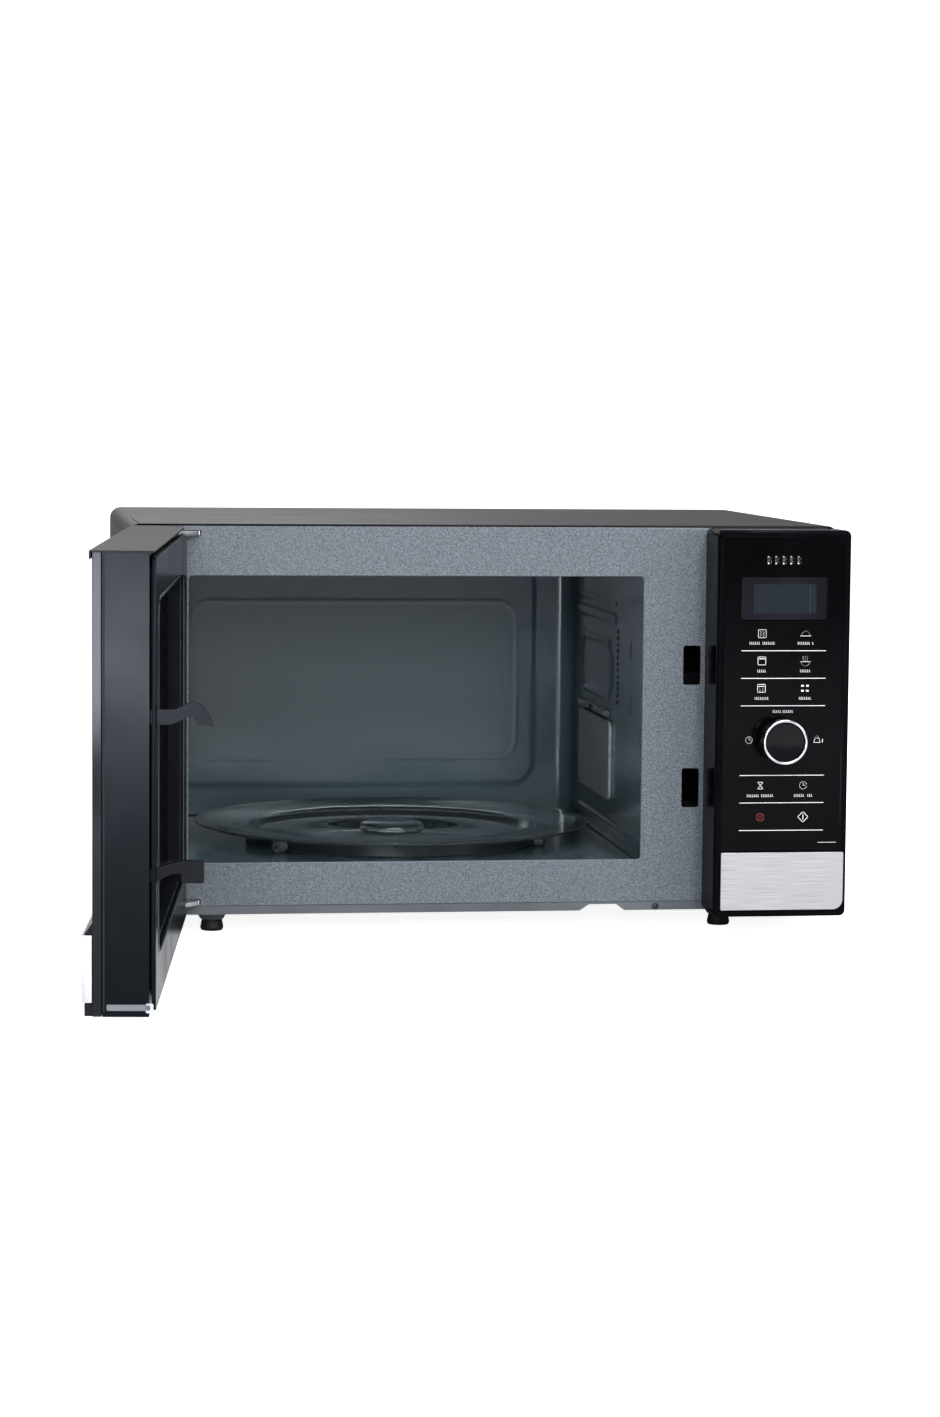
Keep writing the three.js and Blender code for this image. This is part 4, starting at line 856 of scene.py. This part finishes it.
# ---- Latch and switches ----
# A black plastic latch body behind the two slots takes the door's hooks, which press the
# plungers of the two safety switches.
latch_black = moulded("latch_plastic", (0.002, 0.002, 0.0025), 0.7, specular=0.05)
switch_plastic = moulded("switch_plastic", (0.02, 0.02, 0.022), 0.45)
plunger_plastic = moulded("plunger_plastic", (0.30, 0.03, 0.02), 0.4)
carried("latch_body", "latch_block", latch_black)
for place in ("upper", "lower"):
    carried(f"door_switch_{place}", f"switch_case_{place}", switch_plastic, 0.3)
    carried(f"switch_plunger_{place}", f"plunger_pin_{place}", plunger_plastic)

# ---- Control housing and sheet ----
# The panel's box is moulded in high-gloss black; a thin gloss sheet with the printing is
# bonded to its front, over the board with the relays.


def gloss_black(name, colour=(0.006, 0.006, 0.008), roughness=0.06, specular=0.22):
    """Piano-black plastic: deep and glossy with the faintest handling haze."""
    material = new_material(name, colour, roughness, specular=specular)
    haze = pattern_on(material, 26, 3)
    vary_roughness(material, haze, roughness * 0.6, roughness * 1.8)
    vary_colour(material, haze, colour, paler(colour, 1.4))
    roughen(material, pattern_on(material, 45, 1), 0.02, 0.4)
    return material


panel_gloss = gloss_black("panel_gloss", (0.003, 0.003, 0.004), 0.16, 0.05)
sheet_gloss = gloss_black("sheet_gloss", (0.0018, 0.0018, 0.0022), 0.09, 0.1)
carried("control_housing", "panel_box", panel_gloss)
window_loop = rounded_loop(167.9, 227.5, 216.5, 245.9, 1)
sheet_outline = rounded_loop(156.5, 238.4, 58.8, 271.8, (0.6, 0.6, 3, 3))
shaft_loop = rounded_loop(191.9, 199.9, 131.1, 139.1, 3.99)

sheet_loops = [sheet_outline, window_loop, shaft_loop]
printed_sheet = plate("printed_sheet", sheet_loops, 0.15, 1.3, spot, sheet_gloss, "case", 0.25)
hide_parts("control_sheet")
carried("control_board", "main_board", board_green)
carried("dial_encoder", "encoder", zinc)

# ---- Display ----
# A smoked window flush with the sheet and a dark teal liquid-crystal display behind it; a
# thin line divides off its right side.
smoked = gloss_black("smoked_window", (0.012, 0.011, 0.015), 0.16, 0.06)
lcd = new_material("lcd_glass", (0.018, 0.024, 0.028), 0.25, specular=0.08)
lcd_grain = pattern_on(lcd, 1800, 1)
vary_colour(lcd, lcd_grain, (0.015, 0.020, 0.024), (0.021, 0.027, 0.031))
carried("display_window", "display_pane", smoked, 0.2)
carried("display_module", "display_unit", lcd, 0.3)
field_loop = rounded_loop(176.7, 220.1, 221.2, 240.9, 0.6)
plate("display_field", [field_loop], 0.0, 0.12, spot, lcd, "case", 0.03)


def segment_block(points, faces, start, end, width, near, far, lay):
    """One straight stroke of printing, a thin bar with square ends."""
    ax, az = start
    bx, bz = end
    length = math.hypot(bx - ax, bz - az) or 1e-6
    ux, uz = (bx - ax) / length, (bz - az) / length
    half = width / 2
    ax, az, bx, bz = ax - ux * half, az - uz * half, bx + ux * half, bz + uz * half
    first = len(points)
    for c in (near, far):
        for x, z, side in ((ax, az, -1), (bx, bz, -1), (bx, bz, 1), (ax, az, 1)):
            points.append(lay(x - uz * half * side, c, z + ux * half * side))
    for quad in BOX_FACES:
        faces.append([first + q for q in quad])


def printing(name, strokes, near, far, lay, material, body):
    points, faces = [], []
    for line, width in strokes:
        for start, end in zip(line, line[1:]):
            segment_block(points, faces, start, end, width, near, far, lay)
    piece = mesh_piece(name, points, faces, material, body, smooth=False)
    shape = bmesh.new()
    shape.from_mesh(piece.data)
    bmesh.ops.recalc_face_normals(shape, faces=shape.faces)
    shape.to_mesh(piece.data)
    shape.free()
    return piece


display_line = moulded("display_line", (0.012, 0.013, 0.018), 0.4)
divide = [([(215.8, 221.6), (215.8, 240.5)], 0.5)]
printing("display_divide", divide, -0.04, 0.03, spot, display_line, "case")

# ---- Printing on the panel ----
# White silk-screened legends: heat-wave marks at the top, thin dividing lines, a small sign
# and a short bar for each key, and the signs beside the dial; the stop sign is red.
def ink(name, colour, dark, light):
    material = new_material(name, colour, 0.5)
    vary_colour(material, pattern_on(material, 3000, 2), dark, light)
    return material


print_white = ink("print_white", (0.62, 0.62, 0.62), (0.55, 0.55, 0.55), (0.68, 0.68, 0.68))
print_red = ink("print_red", (0.12, 0.005, 0.01), (0.10, 0.004, 0.008), (0.15, 0.007, 0.012))


def ring_line(x, z, radius, start=0, end=360, steps=18):
    angles = [math.radians(start + (end - start) * i / steps) for i in range(steps + 1)]
    return [(x + radius * math.cos(t), z + radius * math.sin(t)) for t in angles]


def frame_line(x, z, half_width, half_height):
    return [
        (x - half_width, z - half_height), (x + half_width, z - half_height),
        (x + half_width, z + half_height), (x - half_width, z + half_height),
        (x - half_width, z - half_height),
    ]


def wave_line(x, z, height, sway):
    steps = 10
    return [
        (x + sway * math.sin(4 * math.pi * i / steps - 1), z - height / 2 + height * i / steps)
        for i in range(steps + 1)
    ]


THIN, FINE = 0.42, 0.34
strokes = []
for offset in (-10.4, -5.2, 0, 5.2, 10.4):
    strokes.append((wave_line(197.6 + offset, 257.2, 4.4, 0.8), 1.0))
for z in (195.7, 176.9, 158.2, 110.6, 91.8, 72.9):
    strokes.append(([(169, z), (227.2, z)], 0.55))
left_key, right_key = 183.0, 213.2
label_marks = [
    (left_key, 200.8, (7.6, 8.6)), (right_key, 200.8, (8.6, 1.2)),
    (left_key, 181.9, (6.2,)), (right_key, 181.9, (7.4,)),
    (left_key, 163.2, (9.4,)), (right_key, 163.2, (8.4,)),
    (197.9, 154.3, (5.6, 7.0)), (left_key, 96.7, (8.6, 8.2)), (right_key, 96.7, (8.0, 3.6)),
]
for x, z, words in label_marks:
    place = x - (sum(words) + 1.4 * (len(words) - 1)) / 2
    for width in words:
        letter = place + 0.35
        while letter < place + width - 0.2:
            strokes.append(([(letter, z - 0.75), (letter, z + 0.75)], 0.42))
            strokes.append(([(letter, z - 0.7), (letter + 0.55, z - 0.7)], 0.3))
            letter += 1.25
        place += width + 1.4
ROW_1, ROW_2, ROW_3 = 207.3, 188.8, 170.1
FRAME = 2.7
# row one: waves in a frame, and a covered dish
strokes += [(frame_line(left_key, ROW_1, FRAME, FRAME), FINE)]
strokes += [(wave_line(left_key + d, ROW_1, 3.4, 0.5), FINE) for d in (-1, 1)]
strokes += [(ring_line(right_key, 206.0, 2.9, 0, 180), THIN)]
strokes += [([(right_key - 3.6, 205.8), (right_key + 3.6, 205.8)], THIN)]
strokes += [(ring_line(right_key, 209.3, 0.5), FINE)]
# row two: a frame with its heater, and a dish with steam
strokes += [(frame_line(left_key, ROW_2, FRAME, FRAME), THIN)]
strokes += [([(left_key - 1.8, 190.2), (left_key + 1.8, 190.2)], 0.6)]
strokes += [(ring_line(right_key, 188.2, 2.9, 180, 360), THIN)]
strokes += [([(right_key - 3.4, 188.2), (right_key + 3.4, 188.2)], THIN)]
strokes += [(wave_line(right_key + d, 190.6, 2.6, 0.35), FINE) for d in (-1.4, 0, 1.4)]
# row three: heater and waves together, and four dots
strokes += [(frame_line(left_key, ROW_3, FRAME, FRAME), THIN)]
strokes += [([(left_key - 1.8, 171.5), (left_key + 1.8, 171.5)], 0.5)]
strokes += [(wave_line(left_key + d, 169.2, 2.2, 0.4), FINE) for d in (-1, 1)]
for dx in (-1.7, 1.7):
    for z in (ROW_3 - 1.7, ROW_3 + 1.7):
        strokes.append(([(right_key + dx - 0.3, z), (right_key + dx + 0.3, z)], 1.3))
# beside the dial: a clock and a weight
strokes += [(ring_line(174.9, 134.8, 2.3), THIN)]
strokes += [([(174.9, 136.3), (174.9, 134.8), (176.2, 134.8)], FINE)]
strokes += [([(220.0, 133.0), (224.4, 133.0), (223.6, 136.0), (220.8, 136.0), (220.0, 133.0)], THIN)]
strokes += [(ring_line(222.2, 136.9, 0.8), FINE), ([(226.0, 133.2), (226.0, 135.2)], 0.6)]
# row five: an hourglass and a running clock
strokes += [([(181.4, 106.0), (185.2, 106.0), (181.4, 101.4), (185.2, 101.4), (181.4, 106.0)], THIN)]
strokes += [(ring_line(213.1, 103.7, 2.5, 20, 340), THIN)]
strokes += [([(213.1, 105.3), (213.1, 103.7), (214.4, 103.7)], FINE)]
# start: a diamond round a bar, and the thin line low on the right
strokes += [([(213.3, 85.6), (216.9, 82), (213.3, 78.4), (209.7, 82), (213.3, 85.6)], 0.5)]
strokes += [([(213.3, 83.6), (213.3, 80.4)], 0.6), ([(224.0, 64.4), (236.6, 64.4)], 0.35)]
printing("panel_legends", strokes, 0.08, 0.2, spot, print_white, "case")
stop_strokes = [(frame_line(183.5, 81.9, 2.3, 2.3), 0.7), ([(182.2, 80.6), (184.8, 83.2)], 0.55)]
stop_strokes += [([(182.2, 83.2), (184.8, 80.6)], 0.55)]
printing("stop_sign", stop_strokes, 0.08, 0.2, spot, print_red, "case")

# ---- Dial ----
# A gloss black knob, lightly dished in front, with a bright plated ring round its front edge.
knob_low, knob_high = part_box("dial_knob")
knob_x, knob_z = (knob_low.x + knob_high.x) / 2, (knob_low.z + knob_high.z) / 2
knob_back = knob_high.y
knob_profile = [
    (0, 0), (15.0, 0), (15.3, -0.4), (15.3, -15.6), (15.15, -16.2), (13.2, -16.5), (13.1, -18.1),
    (12.7, -18.5), (8, -18.0), (3, -17.8), (0, -17.8),
]
dial_body = frame["nodes"]["dial_knob"]["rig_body"]
knob_gloss = gloss_black("knob_gloss", (0.004, 0.004, 0.005), 0.1)


def on_dial_axis(across, upward, depth):
    return (knob_x + across, knob_back + depth, knob_z + upward)


knob = turned("knob", knob_profile, on_dial_axis, knob_gloss, dial_body, 96)
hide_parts("dial_knob")
chrome = new_material("bright_plate", (0.62, 0.62, 0.64), 0.14, 1.0)
chrome_wear = pattern_on(chrome, 300, 3)
vary_roughness(chrome, chrome_wear, 0.08, 0.2)
ring_profile = [
    (13.4, -16.8), (15.3, -16.8), (15.35, -18.8), (15.0, -19.4), (14.2, -19.6), (13.5, -19.2),
    (13.35, -17.4),
]
bright_ring = turned("bright_ring", ring_profile, on_dial_axis, chrome, dial_body, 96, ring=True, sharp=180)
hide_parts("dial_ring")

# ---- Silver plate ----
# A brushed plate across the foot of the panel, its grain level, its lower right corner
# rounded more than the others.


def brushed(name, colour, roughness=0.34, stretch=(0.012, 1, 1)):
    """Brushed metal: long fine scratches along one way."""
    material = new_material(name, colour, roughness, 0.85)
    scratches = pattern_on(material, 2600, 3, stretch)
    vary_colour(material, scratches, paler(colour, 0.72), paler(colour, 1.12), 0.3, 0.7)
    vary_roughness(material, scratches, roughness - 0.06, roughness + 0.1)
    roughen(material, scratches, 0.15, 0.03)
    return material


panel_silver = brushed("panel_silver", (0.46, 0.45, 0.46), 0.42)
silver_loop = rounded_loop(156.5, 241.8, 18.2, 57.8, (0.8, 7, 0.8, 0.8))
silver = plate("silver_plate", [silver_loop], -1.4, 0.7, spot, panel_silver, "case", 0.4)
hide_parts("trim_plate")

# ---- Hinges ----
# Two pressed steel arms reach out of the face plate and carry the pins the door turns on.
hinge_steel = new_material("hinge_steel", (0.45, 0.45, 0.46), 0.3, 0.95)
hinge_scratches = pattern_on(hinge_steel, 240, 4)
vary_roughness(hinge_steel, hinge_scratches, 0.2, 0.42)
vary_colour(hinge_steel, hinge_scratches, (0.36, 0.36, 0.37), (0.5, 0.5, 0.51))
for place in ("upper", "lower"):
    carried(f"hinge_bracket_{place}", f"hinge_arm_{place}", hinge_steel, 0.3)

# ---- Door front ----
# The outside of the door is one high-gloss black moulding with a darker window in it; a
# brushed strip along its foot, wrapped round the free end, serves as the handle.
door_body = frame["nodes"]["door_frame"]["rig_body"]
OPEN_ANGLE = 95.8
door_turn = math.radians(-OPEN_ANGLE)
door_cos, door_sin = math.cos(door_turn), math.sin(door_turn)
pin = spot(-224.6, 18.7, 0)


def at_door(x, y, z):
    """A place on the door: mm from its pin along the shut door, to the rear, and up."""
    return Vector((
        pin.x + (x * door_cos - y * door_sin) * MM,
        pin.y + (x * door_sin + y * door_cos) * MM,
        z * MM,
    ))


door_gloss = gloss_black("door_gloss", (0.008, 0.009, 0.012), 0.08)
carried("door_front_panel", "door_skin", door_gloss, 0.4)
window_gloss = gloss_black("window_gloss", (0.003, 0.003, 0.004), 0.05)
outer_window = rounded_loop(34, 346, 74, 250, 6)
plate("door_outer_window", [outer_window], -17.5, -16.9, at_door, window_gloss, door_body, 0.2)
handle_silver = brushed("handle_silver", (0.55, 0.54, 0.55), 0.34, (1, 0.012, 1))
carried("handle_strip", "handle_bar", handle_silver, 0.3)

# ---- Door frame ----
# A gloss frame carries everything in the door. A satin cap with a hanging lip closes its
# top, and a pale strip and a small bright bracket close the foot of its free end.
frame_gloss = gloss_black("frame_gloss", (0.002, 0.004, 0.006), 0.16, 0.13)
carried("door_frame", "door_box", frame_gloss)
cap_satin = powder_coat("cap_satin", (0.030, 0.024, 0.023), 0.5, specular=0.1)


def over_door(a, c, b):
    return at_door(a, b, c)


cap_loop = [(-8, -19.4), (375.0, -19.4), (375.0, 17.8), (22, 17.8), (-4, 8), (-12, -2), (-12, -16)]
plate("door_cap", [cap_loop], 276.9, 278.0, over_door, cap_satin, door_body, 0.3)
lip_loop = [(-8, 273.2), (375.0, 273.2), (375.0, 277.9), (-8, 277.9)]
plate("door_cap_lip", [lip_loop], -19.4, -18.2, at_door, cap_satin, door_body, 0.3)


def on_free_end(a, c, b):
    return at_door(c, a, b)


foot_grey = powder_coat("foot_grey", (0.13, 0.135, 0.145), 0.35)
foot_loop = rounded_loop(-9.5, 15.5, 17.0, 20.6, 0.8)
bracket_loop = rounded_loop(12.5, 17.2, 15.6, 21.4, 1.2)
groove_loop = rounded_loop(-11.6, -10.6, 16, 276, 0.4)
plate("door_end_foot", [foot_loop], 374.3, 375.2, on_free_end, foot_grey, door_body, 0.25)
plate("door_end_bracket", [bracket_loop], 374.4, 375.2, on_free_end, zinc, door_body, 0.3)
# The groove down the free end is a thin near-black strip of painted shade, not a cut.
plate("door_end_groove", [groove_loop], 374.2, 374.9, on_free_end, hole_shade_black, door_body, 0.1)

# ---- Inside of the door ----
# The inner panel is sunk to the window; behind the clear film is a screen punched with
# close rows of round holes. A gloss dark cover closes the choke round it.
liner_black = gloss_black("liner_black", (0.006, 0.007, 0.010), 0.25, 0.08)
carried("door_inner_panel", "window_well", liner_black)
film = gloss_black("window_film", (0.003, 0.0035, 0.005), 0.1, 0.02)
carried("door_window_film", "film", film)
choke_grey = gloss_black("choke_gloss", (0.006, 0.007, 0.009), 0.18, 0.06)
rim_gloss = gloss_black("rim_gloss", (0.03, 0.032, 0.038), 0.15, 0.5)
window_hole = rounded_loop(34, 346.6, 44, 249.5, 16)
carried("choke_cover", "choke_frame", choke_grey)
rim_path = [at_door(x, 18.1, z) for x, z in window_hole]
swept("window_rim", rim_path, 0.7 * MM, rim_gloss, door_body, closed=True)


def screen_tree(name, material):
    """A sheet's holes as a grid of small six-sided discs."""
    sizes = (("Width", 296.0), ("Height", 188.0), ("Hole Radius", 0.8))
    tree, given = new_tree(name, sizes, (("Columns", 110), ("Rows", 70)))
    grid = add_node(
        tree,
        "GeometryNodeMeshGrid",
        Size_X=given["Width"],
        Size_Y=given["Height"],
        Vertices_X=given["Columns"],
        Vertices_Y=given["Rows"],
    )
    disc = add_node(tree, "GeometryNodeMeshCircle", Vertices=6, Radius=given["Hole Radius"])
    disc.fill_type = "NGON"
    return finish_tree(tree, grid.outputs["Mesh"], disc.outputs["Mesh"], material)


screen_steel = new_material("screen_steel", (0.006, 0.007, 0.009), 0.5, specular=0.0)
screen_cloud = pattern_on(screen_steel, 20, 2)
vary_colour(screen_steel, screen_cloud, (0.005, 0.006, 0.008), (0.009, 0.010, 0.013))
grown(
    "door_screen",
    screen_tree("screen_holes", screen_steel),
    {"Width": 286.0, "Height": 178.0, "Hole Radius": 0.75, "Columns": 110, "Rows": 68},
    [([(0, 0)], lambda a, b, c: at_door(190.3 - a, 8.75, 146.75 + b))],
    door_body,
)

# ---- Door key ----
# One dark acetal key in the door's edge carries both latch hooks. It slides up a little as
# the hooks snap in, and a coil spring of bright wire pushes it down again.
key_acetal = moulded("key_acetal", (0.007, 0.0075, 0.010), 0.24, specular=0.1)
carried("door_key", "hook_key", key_acetal, 0.5, 3)
spring_steel = new_material("spring_wire", (0.6, 0.6, 0.61), 0.28, 1.0)
wire_marks = pattern_on(spring_steel, 900, 2)
vary_roughness(spring_steel, wire_marks, 0.2, 0.4)
key_spring = carried("door_key_spring", "key_spring", spring_steel)
key_spring.modifiers.clear()
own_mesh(key_spring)
